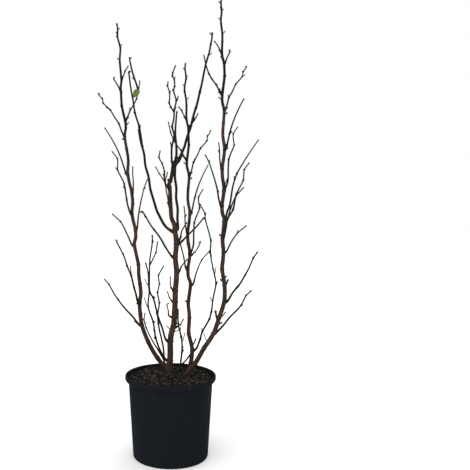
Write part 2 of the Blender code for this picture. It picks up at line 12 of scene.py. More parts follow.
import bpy
import numpy as np
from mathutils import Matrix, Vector


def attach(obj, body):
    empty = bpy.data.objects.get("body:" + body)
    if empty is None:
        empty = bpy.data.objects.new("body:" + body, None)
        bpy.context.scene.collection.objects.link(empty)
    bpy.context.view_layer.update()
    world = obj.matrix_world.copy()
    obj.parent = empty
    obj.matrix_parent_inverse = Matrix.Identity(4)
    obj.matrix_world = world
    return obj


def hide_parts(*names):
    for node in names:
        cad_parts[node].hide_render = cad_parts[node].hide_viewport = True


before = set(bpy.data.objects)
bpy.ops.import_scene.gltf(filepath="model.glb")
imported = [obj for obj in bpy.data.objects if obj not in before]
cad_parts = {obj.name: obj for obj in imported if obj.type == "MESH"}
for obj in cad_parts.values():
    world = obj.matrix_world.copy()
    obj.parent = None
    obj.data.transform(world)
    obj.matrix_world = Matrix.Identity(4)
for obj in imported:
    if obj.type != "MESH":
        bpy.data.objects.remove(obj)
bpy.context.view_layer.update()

MM = 0.001
SEED = 1207
DETAIL_SEED = 318

# Eye that the seen sizes belong to
EYE_DISTANCE = 2100.0
EYE_HEIGHT = 820.0

# Camera: pitched down a little, so that its shift stays small. It sees the same lines as the eye
# to within about a pixel.
CAMERA_DISTANCE = 1.977
CAMERA_HEIGHT = 0.780
CAMERA_PITCH = math.radians(1.21)
CAMERA_LENS = 49.2
CAMERA_SHIFT = (0.1371, -0.04)

# Floor, and each light's place, strength and width in degrees
FLOOR_REACH = 9000.0
LIGHTS = (("sky_light", (0.0, -0.2, 5.0), 2.9, 175.0), ("key_light", (-2.2, -3.2, 4.2), 1.3, 90.0),
          ("back_light", (2.4, 3.2, 3.0), 0.8, 80.0))
LIT_SPOT = (0.0, 0.0, 0.6)

# Pot
POT_HEIGHT = 250.0
POT_BASE_RADIUS = 115.5
POT_NECK_RADIUS = 129.5
POT_NECK_HEIGHT = 229.0
POT_RIM_RADIUS = 140.0
POT_RIM_ROLL = 3.5
POT_LIP_ROUND = 8.0
POT_FOOT_ROUND = 4.0
POT_COVE = 3.5
POT_WALL = 2.2
POT_FLOOR = 3.0
POT_SEGMENTS = 160
POT_SHARP_ANGLE = math.radians(50.0)

# Potting mix
SOIL_LEVEL = 240.0
SOIL_PLATEAU = 96.0
SOIL_EDGE_DROP = 5.0
SOIL_SEGMENTS = 128
SOIL_RING_STEP = 2.5
SOIL_STUB = 10.0
# Height from which the mix is loose, and its open surface, which pieces lie on
LOOSE_FROM = 228.0
LOOSE_OVER = 6.0
BED_HEIGHT = 232.0
BED_RADIUS = 124.0
# Its relief: how many clods and crumbs lie in a metre, the detail of each, and their height
CLODS = (45.0, 2.0, 5.0)
CRUMBS = (260.0, 3.0, 3.0)
SCATTER_SEED = 3
LEAN_SEED = 5
SPIN_SEED = 9

# Clearances between neighbouring solids
GAP = 0.3
LIMB_CLEARANCE = 1.5

# Stems
CANE_TIP_RADIUS = 2.6
CANE_FOOT_RADIUS = 7.4
CANE_TAPER_LENGTH = 1130.0
CANE_TAPER_POWER = 0.8
CANE_KINK = 5.3
CANE_KINK_START = 150.0
CANE_KINK_LENGTH = 45.0
CANE_KNEE = 5.4
CANE_KNEE_DROP = 890.0
CANE_KNEE_LENGTH = 70.0
CANE_SWEEP_START = 895.0
CANE_SWEEP_LENGTH = 250.0
CANE_SWEEP_REACH = 99.0
CANE_SWEEP_POWER = 1.85
CANE_TOP_MASS = 398.0
CANE_LONGEST = 1400.0
KINK_MARGIN = 12.0
FLARE = 0.35
FLARE_LENGTH = 14.0

# Shoots
SHOOT_TIP_RADIUS = 1.8
SHOOT_FOOT_RADIUS = 2.1
SHOOT_THICKENING = 0.0045
SPREAD = 0.6
LEAST_SPREAD = 0.2
COLLAR = 4.5
COLLAR_LENGTH = 6.0
FOOT_STEP = 8.0
SHOOT_STEP = 34.0
# Brings the peak of s (1 - s)^2, and of s^2 (1 - s), to one
BULGE_SCALE = 6.75
FIRST_BUD = 14.0
INTERNODE = 46.0
INTERNODE_SHARES = (0.85, 1.15)
LAST_INTERNODE = 0.4
ZIGZAG = 1.3
BUD_TURN = math.radians(144.0)
BUD_LENGTH = 5.5
BUD_RADIUS = 1.8
BUD_SIZES = (0.75, 1.05)
BUD_SEAT = 0.7
SCAR_SEAT = 0.94
SCAR_BELOW = 1.9
BUD_SPREAD = 0.45
SPUR_SHARE = 0.3
SPUR_LENGTHS = (10.0, 20.0)
SPUR_RADIUS = 1.5
SPUR_SPREAD = 0.9
SPUR_SHOWN = 0.55
SPACE_RADIUS = 30.0
SPACE_WIDENING = 0.1
SPACE_END = 1.05
SAMPLE_STEP = 2.0
# End buds: their length, their width beside the tip's, and how deep they sit on twigs and canes
END_BUD_LENGTH = 9.0
END_BUD_WIDTH = 1.35
END_BUD_SUNK = 0.8
CANE_BUD_SUNK = 7.0

# A cane is given by its tip, its lean in degrees and the depth of its tip and foot. Its shoots
# are the shared ones below, outwards for mirror 1 being +X, with their depth times turn.
Cane = namedtuple("Cane", "side height mirror lean tip_back foot_back turn shoots")
CANES = {
    "right": Cane(156.5, 1406.5, 1, 0.05, -80.0, -2.0, 1, "abcdefghikl"),
    "middle": Cane(45.9, 1211.5, 1, -0.5, 130.0, 32.0, -1, "abcdef"),
    "left": Cane(-165.3, 1331.5, -1, 5.3, 95.0, 54.0, -1, "abcefjk"),
}

# Kinks that the canes share: how far out the wood is pushed at some drops below the tip. Each lies
# a little above the shoots of its knot.
CANE_KINKS = ((0, 0), (18, -2), (45, 0), (75, -3), (112, 1), (173, -1), (201, 2), (240, 2), (275, 0),
              (318, -3), (345, 2), (420, -2), (458, 3), (485, 2), (517, -2), (548, -2), (580, 2),
              (605, 1), (630, -2), (660, -2), (677, 3), (710, 1), (745, -2), (773, 0), (800, -1),
              (832, -4), (880, 1), (923, 2), (965, 3), (1022, 3), (1052, 0), (1075, -4), (1120, -1))

# A shoot leaves its limb drop below that limb's top, reaches outwards (minus is inwards) and
# rises, and bulges by low and high from a straight line. back is its way in depth: 1 or -1 for
# as much as the spread leaves, or any share of it.
Shoot = namedtuple("Shoot", "drop reach rise low high back")
CANE_TOP_SHOOTS = {
    "w": Shoot(181, -23, 43, -1, -3, 1),
    "x": Shoot(209, 17, 40, 0, 0, -1),
    "y": Shoot(301, -57, 117, 0, 10, -1),
    "z": Shoot(353, 66, 136, -6, 0, 1),
}
CANE_SHOOTS = {
    "a": Shoot(466, 57, 149, -3, -4, -1),
    "b": Shoot(525, -11, 78, 3, -4, 1),
    "c": Shoot(588, 41, 192, 4, -7, 1),
    "d": Shoot(593, 32, 35, -4, 6, -1),
    "e": Shoot(638, -51, 151, -1, -5, -1),
    "f": Shoot(685, 57, 100, -3, -7, -1),
    "g": Shoot(686, 104, 250, -6, -14, 1),
    "h": Shoot(734, 77, 222, -3, -3, -1),
    "i": Shoot(781, 68, 80, -2, -7, 1),
    "j": Shoot(863, 53, 191, -3, -5, 1),
    "k": Shoot(931, 101, 148, -1, 6, -1),
    "l": Shoot(1030, 114, 129, 0, 4, 1),
}

# Limbs and twigs that have no twin: the limb they stand on, the sizes of a shoot, their foot and
# tip radius, and the mass that a fork belongs to.
TRUNK_FOOT = (-3.1, 26.0)
TRUNK_RADII = (9.8, 7.8)
TRUNK = Shoot(0, 16, 462, 2, 10, -0.06)
TRUNK_KINKS = ((0, 0), (60, 0), (95, -3), (140, 0), (203, 1), (262, 4), (305, 3), (336, -3),
               (370, -2), (395, 1), (462, 0))
GROWTHS = {
    "leader_bough": ("centre_stem", (0, -5, 185, 9, 5, 0), 6.1, 5.1),
    "left_bough_lower": ("centre_stem", (16, -56, 60, 8, 2, -0.5), 4.4, 4.1),
    "left_bough_upper": ("left_bough_lower", (0, -56, 249, -4, 0, -0.3), 4.1, 3.4),
    "right_bough_lower": ("centre_stem", (10, 0, 189, 1, -1, -0.35), 4.0, 4.0),
    "right_bough_upper": ("right_bough_lower", (0, 48, 123, 8, 2, -0.3), 4.0, 3.9),
    "leader_twigs_a": ("leader_bough", (0, 11, 162, -10, 3, 0.2), 4.4, 2.5),
    "leader_twigs_b": ("leader_bough", (14, 8, 317, 7, -5, 0.3), 3.4, 2.2),
    "leader_twigs_b_fork": ("leader_twigs_b", (138, -19, 88, 10, -1, 0.3), 2.3, 1.9, "leader_twigs_b"),
    "leader_twigs_b_stub": ("leader_twigs_b", (104, 7, 9, 1, 1, -0.3), 2.0, 1.7, "leader_twigs_b"),
    "leader_twigs_c": ("leader_bough", (130, -42, 122, -2, -10, 0.6), 3.0, 2.0),
    "leader_twigs_c_fork": ("leader_twigs_c", (40, -13, 89, -6, 3, -0.5), 2.2, 1.8, "leader_twigs_c"),
    "leader_twigs_d": ("leader_bough", (74, -9, 48, 2, 4, -0.8), 2.3, 1.8),
    "left_bough_twigs": ("left_bough_upper", (0, -30, 173, 5, -2, -0.3), 3.4, 2.4),
    "right_bough_twigs": ("right_bough_upper", (0, 65, 280, -6, 3, -0.3), 3.9, 2.6),
    "right_bough_twigs_fork": ("right_bough_twigs", (267, 17, 24, 1, 1, 1), 2.4, 1.8, "right_bough_twigs"),
    "left_top_fork": ("left_top_y", (30, -29, 103, 0, 1, 1), 2.3, 1.8, "left_top_twigs"),
    "centre_shoot_a": ("centre_stem", (46, 30, 51, 0, -4, -1), 2.8, 1.9),
    "centre_shoot_b": ("centre_stem", (56, 83, 77, -2, 3, -1), 3.1, 2.2),
    "centre_shoot_c": ("centre_stem", (97, -107, 139, -3, -2, -1), 3.3, 2.3),
    "centre_shoot_d": ("centre_stem", (142, 31, 35, -5, 1, -1), 2.5, 1.9),
    "centre_shoot_e": ("centre_stem", (201, -16, 38, -1, 3, -1), 2.5, 1.8),
    "centre_shoot_f": ("centre_stem", (235, -23, 27, -2, 4, 1), 2.5, 1.8),
    "centre_shoot_g": ("centre_stem", (283, -23, 37, 4, -2, -1), 2.5, 1.8),
    "centre_shoot_h": ("centre_stem", (311, 29, 18, -2, 3, -1), 2.4, 1.8),
    "middle_long_twig": ("middle_stem", (888, 28, 449, 42, 18, 0.1), 3.1, 2.0),
    "low_shoot_a": ("soil", (0, -66, 176, -1, 19, 0.4), 3.0, 1.9),
    "low_shoot_b": ("centre_stem", (417, -75, 297, 18, 4, -0.4), 3.3, 2.2),
    "low_shoot_c": ("centre_stem", (357, -57, 322, 16, 17, -0.3), 3.2, 2.1),
    "low_shoot_c_fork": ("low_shoot_c", (90, 25, 70, 3, 1, -0.5), 2.3, 1.8, "low_shoot_c"),
    "low_shoot_d": ("soil", (0, -5, 320, 1, 16, 0.3), 3.1, 2.1),
    "low_shoot_e": ("soil", (0, -6, 193, -2, -7, 0.1), 2.3, 1.8),
}
SOIL_FEET = {"low_shoot_a": (-14.0, 72.0), "low_shoot_d": (-18.5, 85.0), "low_shoot_e": (29.3, 50.0)}
BOUGHS = ("leader_bough", "left_bough_lower", "left_bough_upper", "right_bough_lower",
          "right_bough_upper")
SIDE_BOUGHS = BOUGHS[1:]

# Bends of the canes' shared shoots, from the foot up: how far below the cane's tip and how far out.
# The sharp ones are knots, and the wood runs nearly straight from one to the next.
CANE_BENDS = {
    "w": ((165, -4), (149, -12)),
    "x": ((188, 15),),
    "y": ((290, -5), (269, -16), (253, -28), (236, -38), (213, -47), (196, -51)),
    "z": ((330, 16), (307, 22), (287, 33), (264, 44), (241, 63), (227, 66)),
    "a": ((457, 15), (437, 20), (411, 26), (391, 32), (369, 40), (353, 47), (330, 58)),
    "b": ((509, -3), (494, -5), (463, -6)),
    "c": ((525, 21), (494, 23), (480, 27), (449, 39), (432, 37), (415, 37)),
    "e": ((595, -11), (560, -20), (532, -29), (506, -38)),
    "f": ((608, 45),),
    "g": ((639, 25), (575, 36), (538, 48), (502, 68), (460, 95)),
    "h": ((679, 19), (651, 35), (603, 46), (561, 66), (529, 70)),
    "i": ((721, 50),),
    "k": ((826, 87), (811, 93), (798, 99)),
    "l": ((943, 62), (928, 70), (914, 77)),
}

# Bends of the other limbs: the side and height at which they are seen
BENDS = {
    "right_bough_twigs": ((68, 1037), (73, 1055), (80, 1077), (88, 1110), (96, 1144), (102, 1175),
                          (108, 1203), (114, 1223), (119, 1241), (122, 1258), (126, 1278)),
    "left_bough_twigs": ((-87, 951), (-96, 1011), (-109, 1054), (-114, 1087), (-119, 1114),
                         (-122, 1132), (-125, 1154)),
    "left_top_fork": ((-105, 1147), (-112, 1167), (-118, 1187), (-125, 1218)),
    "left_bough_lower": ((-9, 701), (-20, 713)),
    "leader_bough": ((3, 733), (1, 756), (0, 774), (-1, 794), (-2, 820), (-4, 838), (1, 853), (5, 871)),
    "leader_twigs_a": ((17, 918), (18, 943), (17, 964), (15, 983), (15, 1008), (17, 1033)),
    "leader_twigs_b": ((4, 907), (3, 933), (4, 954), (10, 977), (11, 990), (5, 1013), (9, 1033),
                       (11, 1049), (11, 1062), (17, 1095), (9, 1126), (12, 1137),
                       (11, 1160), (6, 1170), (7, 1180), (10, 1189)),
    "leader_twigs_b_fork": ((2, 1073), (-4, 1087), (-3, 1099), (-3, 1118), (-9, 1139)),
    "leader_twigs_c": ((-13, 815), (-17, 840), (-24, 854), (-35, 871)),
    "leader_twigs_c_fork": ((-19, 875), (-26, 900), (-35, 919)),
    "middle_long_twig": ((91, 357), (98, 381), (120, 421), (126, 443), (131, 482), (140, 531),
                         (135, 562), (127, 598), (123, 632), (124, 664), (107, 731), (106, 747)),
    "right_shoot_d": ((165, 828),),
    "centre_shoot_c": ((-33, 673), (-60, 709), (-87, 751)),
    "low_shoot_a": ((-57, 355), (-75, 394), (-82, 419)),
    "low_shoot_b": ((-46, 363), (-54, 412), (-69, 458), (-66, 502), (-68, 531), (-69, 562)),
    "low_shoot_c": ((-26, 394), (-39, 430), (-54, 487), (-63, 502), (-65, 562), (-64, 601), (-56, 659)),
    "low_shoot_c_fork": ((-46, 625),),
    "low_shoot_d": ((-35, 390), (-40, 431), (-35, 471), (-40, 503), (-35, 530), (-37, 557)),
    "low_shoot_e": ((34, 310), (36, 332), (33, 366), (30, 378), (24, 406)),
}
# A tip that is seen elsewhere than its solid's
TIPS = {"leader_twigs_c": (-44, 887), "right_shoot_d": (173, 850)}

# Short side growths of a limb: how far below its top they stand, their reach outwards, their rise
# and their radius. Every cane has the shared ones.
CANE_STUBS = ((20, -5, 3, 1.5), (43, 4, 3, 1.5), (70, -5, 3, 1.5), (113, 7, 6, 1.4), (312, -8, 5, 1.9),
              (357, 7, 3, 2.2), (466, 8, 3, 1.7))
STUBS = {
    "right_cane": ((730, -8, 3, 2.4), (862, 6, 6, 2.4), (886, 9, 18, 3.0), (870, -9, 4, 2.4),
                   (983, 18, 16, 1.9), (994, -7, 28, 3.6), (1003, 12, 5, 2.6), (1057, -13, 24, 1.6)),
    "middle_cane": ((875, 12, 20, 2.4), (738, -8, 3, 2.2)),
    "left_cane": ((868, 8, 3, 1.8),),
    "centre_stem": ((318, -18, 6, 1.7), (326, 18, 2, 1.7)),
    "leader_bough": ((50, 3, 1, 3.6), (64, 3, -2, 3.2), (48, -3, 2, 3.8), (58, -3, -2, 3.6)),
    "leader_twigs_b": ((245, -4, 12, 1.8),),
    "right_bough_upper": ((116, 17, 25, 2.8),),
    "left_top_fork": ((2, 5, 5, 1.3), (66, -9, 8, 1.4)),
    "right_bough_twigs": ((2, -6, 5, 1.4), (62, 8, 5, 1.5)),
    "left_shoot_j": ((115, 2, 40, 1.9),),
    "middle_long_twig": ((216, 4, 24, 1.5), (250, 5, 12, 1.7), (298, -7, 11, 1.6), (150, -4, 4, 1.8)),
    "low_shoot_a": ((28, 6, 3, 1.3),),
    "low_shoot_b": ((137, -12, 32, 1.6), (66, -11, 18, 1.6), (184, 5, 7, 1.3), (230, -5, 1, 1.4)),
    "low_shoot_c": ((195, 3, 6, 1.4),),
    "low_shoot_e": ((64, 4, 24, 1.5), (98, 9, 30, 1.5)),
}

# Twigs that are thicker or thinner than their solids' plain taper
THICKER = {"a": 1.04, "c": 1.02, "f": 1.06, "j": 1.2, "k": 1.2, "l": 1.2, "w": 1.05, "x": 1.15}
THICKER_TWIGS = {"right_shoot_d": 0.8, "left_top_fork": 1.5, "low_shoot_c": 1.05, "low_shoot_d": 1.05,
                 "low_shoot_e": 1.4, "leader_bough": 1.12, "leader_twigs_b_fork": 1.1,
                 "leader_twigs_c": 0.8, "leader_twigs_c_fork": 1.1}

# A side growth of the long twig that rises from the soil behind the middle stem: side, back, height
BACK_FOOT = ((27, 121, 266), (29, 119, 273), (45, 104, 290), (57, 84, 305), (64, 66, 316), (72, 58, 330))
BACK_FOOT_RADIUS = 2.6

# A leaf of unit length: its thickness, and how far it is folded
LEAF_THICK = 0.16
LEAF_FOLD = 0.5

# Tips whose first leaf has begun to open, pale green, and tips that end in a dark hook
LEAF_TIPS = ("right_top_z", "middle_top_z", "left_top_z", "left_shoot_j", "middle_shoot_d")
DARK_HOOKS = ("right_top_x", "middle_top_x", "left_top_x", "centre_shoot_g", "left_bough_twigs")
# A dark hook's line, on from the tip and over inwards
DARK_HOOK = ((-1.0, 0.0), (2.5, 0.0), (4.5, 2.0), (4.0, 5.0))

# Fine growth. At a knot the wood swells, has a fine ring all round where the stipules fell, and
# is pushed over towards its bud, so that a twig runs in short straight lengths.
LINE_STEP = 1.0
STEM_STATION = 1.6
TWIG_STATION = 4.0
KNOT_STATIONS = (-5.0, -3.0, -1.6, -0.8, -0.35, 0.0, 0.35, 0.8, 1.6, 3.0, 5.0)
STEM_SWAY = 1.5
TWIG_SWAY = 1.0
KNOT_SWELL = 0.28
STEM_KNOT_SWELL = 0.14
KNOT_WIDTH = 2.6
RING_SWELL = 0.16
RING_WIDTH = 0.45
RING_ABOVE = 1.2
STEM_KNOT_STEP = 62.0
FOOT_FLARE = 0.75
FOOT_FLARE_LENGTH = 4.5
# Widest that a foot gets, as a share of the limb below, or of its own radius in the soil
FOOT_SHARE = 0.9
SOIL_FOOT = 2.0
FOOT_FOLLOW = 45.0
BENT_FOOT_FOLLOW = 14.0
SHARP_BEND = 0.14
FOOT_SINK = 8.0
END_SWELL_LENGTH = 16.0
STEM_SIDES = 28
BOUGH_SIDES = 20
TOP_SIDES = 16
TWIG_SIDES = 12
SPUR_SIDES = 10
# Drops at which a cane's brown wood begins and ends to turn into last summer's dark wood
CANE_COLOUR_DROPS = (375.0, 300.0)
# Spurs, with crowded rings and a widened foot
SPUR_LINE_STEP = 0.7
SPUR_STATION = 0.9
SPUR_RING_SWELL = 0.12
SPUR_RING_STEP = 2.4
SPUR_HALF = 0.36
SPUR_CURL = 0.5
SPUR_FLARE = 0.5
SPUR_FLARE_LENGTH = 2.5
FINE_SPUR_SHARE = 0.22
FINE_SPUR_LENGTHS = (4.0, 8.0)
FINE_SPUR_RADIUS = 0.85 * SPUR_RADIUS
# Buds on spurs and stubs: how deep they sit, their least length, and how they grow with the wood
SIDE_BUD_SUNK = 0.5
SPUR_BUD_LENGTH = 1.6
SPUR_BUD_SHARE = 0.42
SPUR_BUD_WIDTH = 1.45
STUB_BUD_LENGTH = 2.0
STUB_BUD_SHARE = 1.6
STUB_BUD_WIDTH = 1.3
STUB_TAPER = 0.85
STUB_DEPTH = 0.3
STUB_SAG = 0.1

# A limb is its centre line and radii from foot to tip, with how far each point lies below its top
Limb = namedtuple("Limb", "points radii drops mirror lean turn")
# What a limb stands on, its spot below that limb's top, and how: on its end, side, soil or fused
Stand = namedtuple("Stand", "on drop how")
# A knot's place along its limb, its side, whether it carries a spur, and that spur's length
Knot = namedtuple("Knot", "travel aside spur length")
# A limb's fine line, with the smooth line's own places along it
Line = namedtuple("Line", "points radii travel knots")
# A small piece set on the wood: its foot, way, length, radius and turn about that way
Seat = namedtuple("Seat", "point way length radius turn")


def placed(side, back, height):
    """Real point of one that is seen at side and height, and stands back by that much."""
    nearer = 1.0 + back / EYE_DISTANCE
    return np.array([side * nearer, back, EYE_HEIGHT + (height - EYE_HEIGHT) * nearer])


def seen(point):
    """Side and height at which a real point is seen."""
    nearer = 1.0 + point[1] / EYE_DISTANCE
    return point[0] / nearer, EYE_HEIGHT + (point[2] - EYE_HEIGHT) / nearer


def unit(vector):
    return vector / np.linalg.norm(vector)


def outward(limb, reach, rise):
    """Side and height of a step that is given outwards and along a leaning, mirrored limb."""
    lean = math.radians(limb.lean)
    side = limb.mirror * (reach * math.cos(lean) + rise * math.sin(lean))
    return side, rise * math.cos(lean) - reach * math.sin(lean)


def cane_seen(cane, out, drop):
    """Side and height at which a spot is seen that lies out from a cane's tip and drop below it."""
    lean = math.radians(cane.lean)
    side = cane.side + cane.mirror * (out * math.cos(lean) - drop * math.sin(lean))
    return side, cane.height - drop * math.cos(lean) - out * math.sin(lean)


def cane_limb(cane):
    """A cane's whole centre line, from the soil to its tip."""
    drops = np.arange(0.0, CANE_LONGEST, 1.0)
    kink = np.clip((drops - CANE_KINK_START) / CANE_KINK_LENGTH, 0.0, 1.0)
    knee = (drops - CANE_KNEE_DROP) / CANE_KNEE_LENGTH
    sweep = np.clip((drops - CANE_SWEEP_START) / CANE_SWEEP_LENGTH, 0.0, None)
    out = CANE_KINK * kink * kink * (3.0 - 2.0 * kink) + CANE_KNEE * np.exp(-knee * knee)
    out = out - CANE_SWEEP_REACH * sweep ** CANE_SWEEP_POWER + np.interp(drops, *zip(*CANE_KINKS))
    sides, heights = cane_seen(cane, out, drops)
    foot_seen = seen((0.0, cane.foot_back, SOIL_LEVEL + GAP))[1]
    foot = np.interp(-foot_seen, -heights, drops)
    stations = np.array([foot] + [d for d, _ in CANE_KINKS[::-1] if d < foot - KINK_MARGIN])
    grown = 1.0 - stations / foot
    backs = cane.foot_back + (cane.tip_back - cane.foot_back) * grown * (1.5 - 0.5 * grown)
    points = [placed(np.interp(d, drops, sides), b, np.interp(d, drops, heights))
              for d, b in zip(stations, backs)]
    taper = (stations / CANE_TAPER_LENGTH) ** CANE_TAPER_POWER
    radii = CANE_TIP_RADIUS + (CANE_FOOT_RADIUS - CANE_TIP_RADIUS) * taper
    return Limb(np.array(points), radii, stations, cane.mirror, cane.lean, cane.turn)


def at_drop(limb, drop):
    """Point, direction and radius of a limb at a drop below its top."""
    order = slice(None, None, -1)
    point = np.array([np.interp(drop, limb.drops[order], limb.points[order, axis]) for axis in range(3)])
    radius = np.interp(drop, limb.drops[order], limb.radii[order])
    index = int(np.clip(np.searchsorted(-limb.drops, -drop), 1, len(limb.drops) - 1))
    return point, unit(limb.points[index] - limb.points[index - 1]), radius


def part_of(limb, low, high):
    """The stretch of a limb between two drops, with the limb's own stations."""
    inside = (limb.drops < low - KINK_MARGIN) & (limb.drops > high + KINK_MARGIN)
    stations = np.concatenate([[low], limb.drops[inside], [high]])
    points, _, radii = zip(*[at_drop(limb, drop) for drop in stations])
    return limb._replace(points=np.array(points), radii=np.array(radii), drops=stations)


def kinked(limb, kinks):
    """A limb pushed sideways at its stations."""
    points = limb.points.copy()
    points[:, 0] += np.interp(limb.drops, *zip(*kinks))
    return limb._replace(points=points)


def depth_of(shoot, limb):
    """How far back a shoot's tip lies from its foot: what its spread leaves beside its reach."""
    whole = (SPREAD * shoot.rise) ** 2 - shoot.reach ** 2
    least = (LEAST_SPREAD * shoot.rise) ** 2
    return limb.turn * shoot.back * math.sqrt(max(whole, least))


def grown_limb(shoot, limb, foot_radius, tip_radius, fused, rng):
    """A shoot's centre line: bulging, turning a little at each bud, and standing GAP clear."""
    start, along, radius = at_drop(limb, shoot.drop)
    start_side, start_height = seen(start)
    out_side, out_height = outward(limb, shoot.reach, shoot.rise)
    end = placed(start_side + out_side, start[1] + depth_of(shoot, limb), start_height + out_height)
    on_end = shoot.drop == 0
    way = math.copysign(1.0, shoot.reach) / math.hypot(shoot.reach, shoot.rise)
    bulge_side, bulge_height = outward(limb, shoot.rise * way, -shoot.reach * way)
    bulge = np.array([bulge_side, 0.0, bulge_height])
    heading = end - start + BULGE_SCALE * shoot.low * bulge
    radial = unit(heading - along * heading.dot(along))
    if on_end:
        start = start + along * GAP
    elif not fused:
        start = start + radial * (radius + GAP)
    chord = end - start
    length = np.linalg.norm(chord)
    steps = max(2, round(length / SHOOT_STEP))
    shares = np.linspace(0.0, 1.0, steps + 1)
    if not on_end and not fused:
        shares = np.insert(shares[1:], 0, [0.0, FOOT_STEP / length])
        if shares[2] - shares[1] < 0.5 * shares[1]:
            shares = np.delete(shares, 2)
    low = shoot.low * BULGE_SCALE * shares * (1.0 - shares) ** 2
    high = shoot.high * BULGE_SCALE * shares ** 2 * (1.0 - shares)
    points = start + np.outer(shares, chord) + np.outer(low + high, bulge)
    if on_end:
        points += np.outer(shares * (1.0 - shares) ** 2, along * length - chord)
    elif not fused:
        collar = COLLAR * (1.0 - np.exp(-shares * length / COLLAR_LENGTH)) * (1.0 - shares)
        points += np.outer(collar, radial)
    turn = rng.uniform(0.0, 2.0 * math.pi)
    across = unit(np.cross(chord, (0.0, 1.0, 0.0)))
    depthwise = np.cross(across, unit(chord))
    sideways = across * math.cos(turn) + depthwise * math.sin(turn)
    for index in range(2, len(points) - 1):
        points[index] += sideways * ZIGZAG * (-1.0) ** index
    radii = foot_radius + (tip_radius - foot_radius) * shares
    heights = np.array([seen(point)[1] for point in points])
    drops = np.maximum.accumulate((heights[-1] - heights)[::-1])[::-1]
    return Limb(points, radii, drops, limb.mirror, limb.lean, limb.turn)


def soil_stand(side, back):
    """Upright stub under the soil's surface, for what grows out of it."""
    foot = placed(side, back, 0.0)
    points = np.array([(foot[0], foot[1], SOIL_LEVEL - SOIL_STUB), (foot[0], foot[1], SOIL_LEVEL)])
    return Limb(points, np.zeros(2), np.array([SOIL_STUB, 0.0]), 1, 0.0, 1)


def travel_of(points):
    """How far along a line each of its points lies."""
    return np.concatenate([[0.0], np.cumsum(np.linalg.norm(np.diff(points, axis=0), axis=1))])


def along_line(spots, travel, values):
    """A line's points, or its other values, at some places along it."""
    if values.ndim == 1:
        return np.interp(spots, travel, values)
    return np.stack([np.interp(spots, travel, values[:, axis]) for axis in range(3)], axis=-1)


def on_line(line, spots):
    """A line's points and radii at some places along it."""
    return along_line(spots, line.travel, line.points), along_line(spots, line.travel, line.radii)


def clear_of_others(point, radius, own, samples):
    """Whether a point stays clear of every limb that isn't in own."""
    return all((np.linalg.norm(centres - point, axis=1) - radii).min() >= radius + LIMB_CLEARANCE
               for name, (centres, radii) in samples.items() if name not in own)


def in_space(point, limb):
    """Whether a point lies in the space of a mass round the limb that it grows from."""
    foot, tip = limb.points[0], limb.points[-1]
    chord = tip - foot
    share = (point - foot).dot(chord) / chord.dot(chord)
    aside = np.linalg.norm(point - foot - chord * share)
    return 0.0 < share < SPACE_END and aside < SPACE_RADIUS + SPACE_WIDENING * np.linalg.norm(chord)


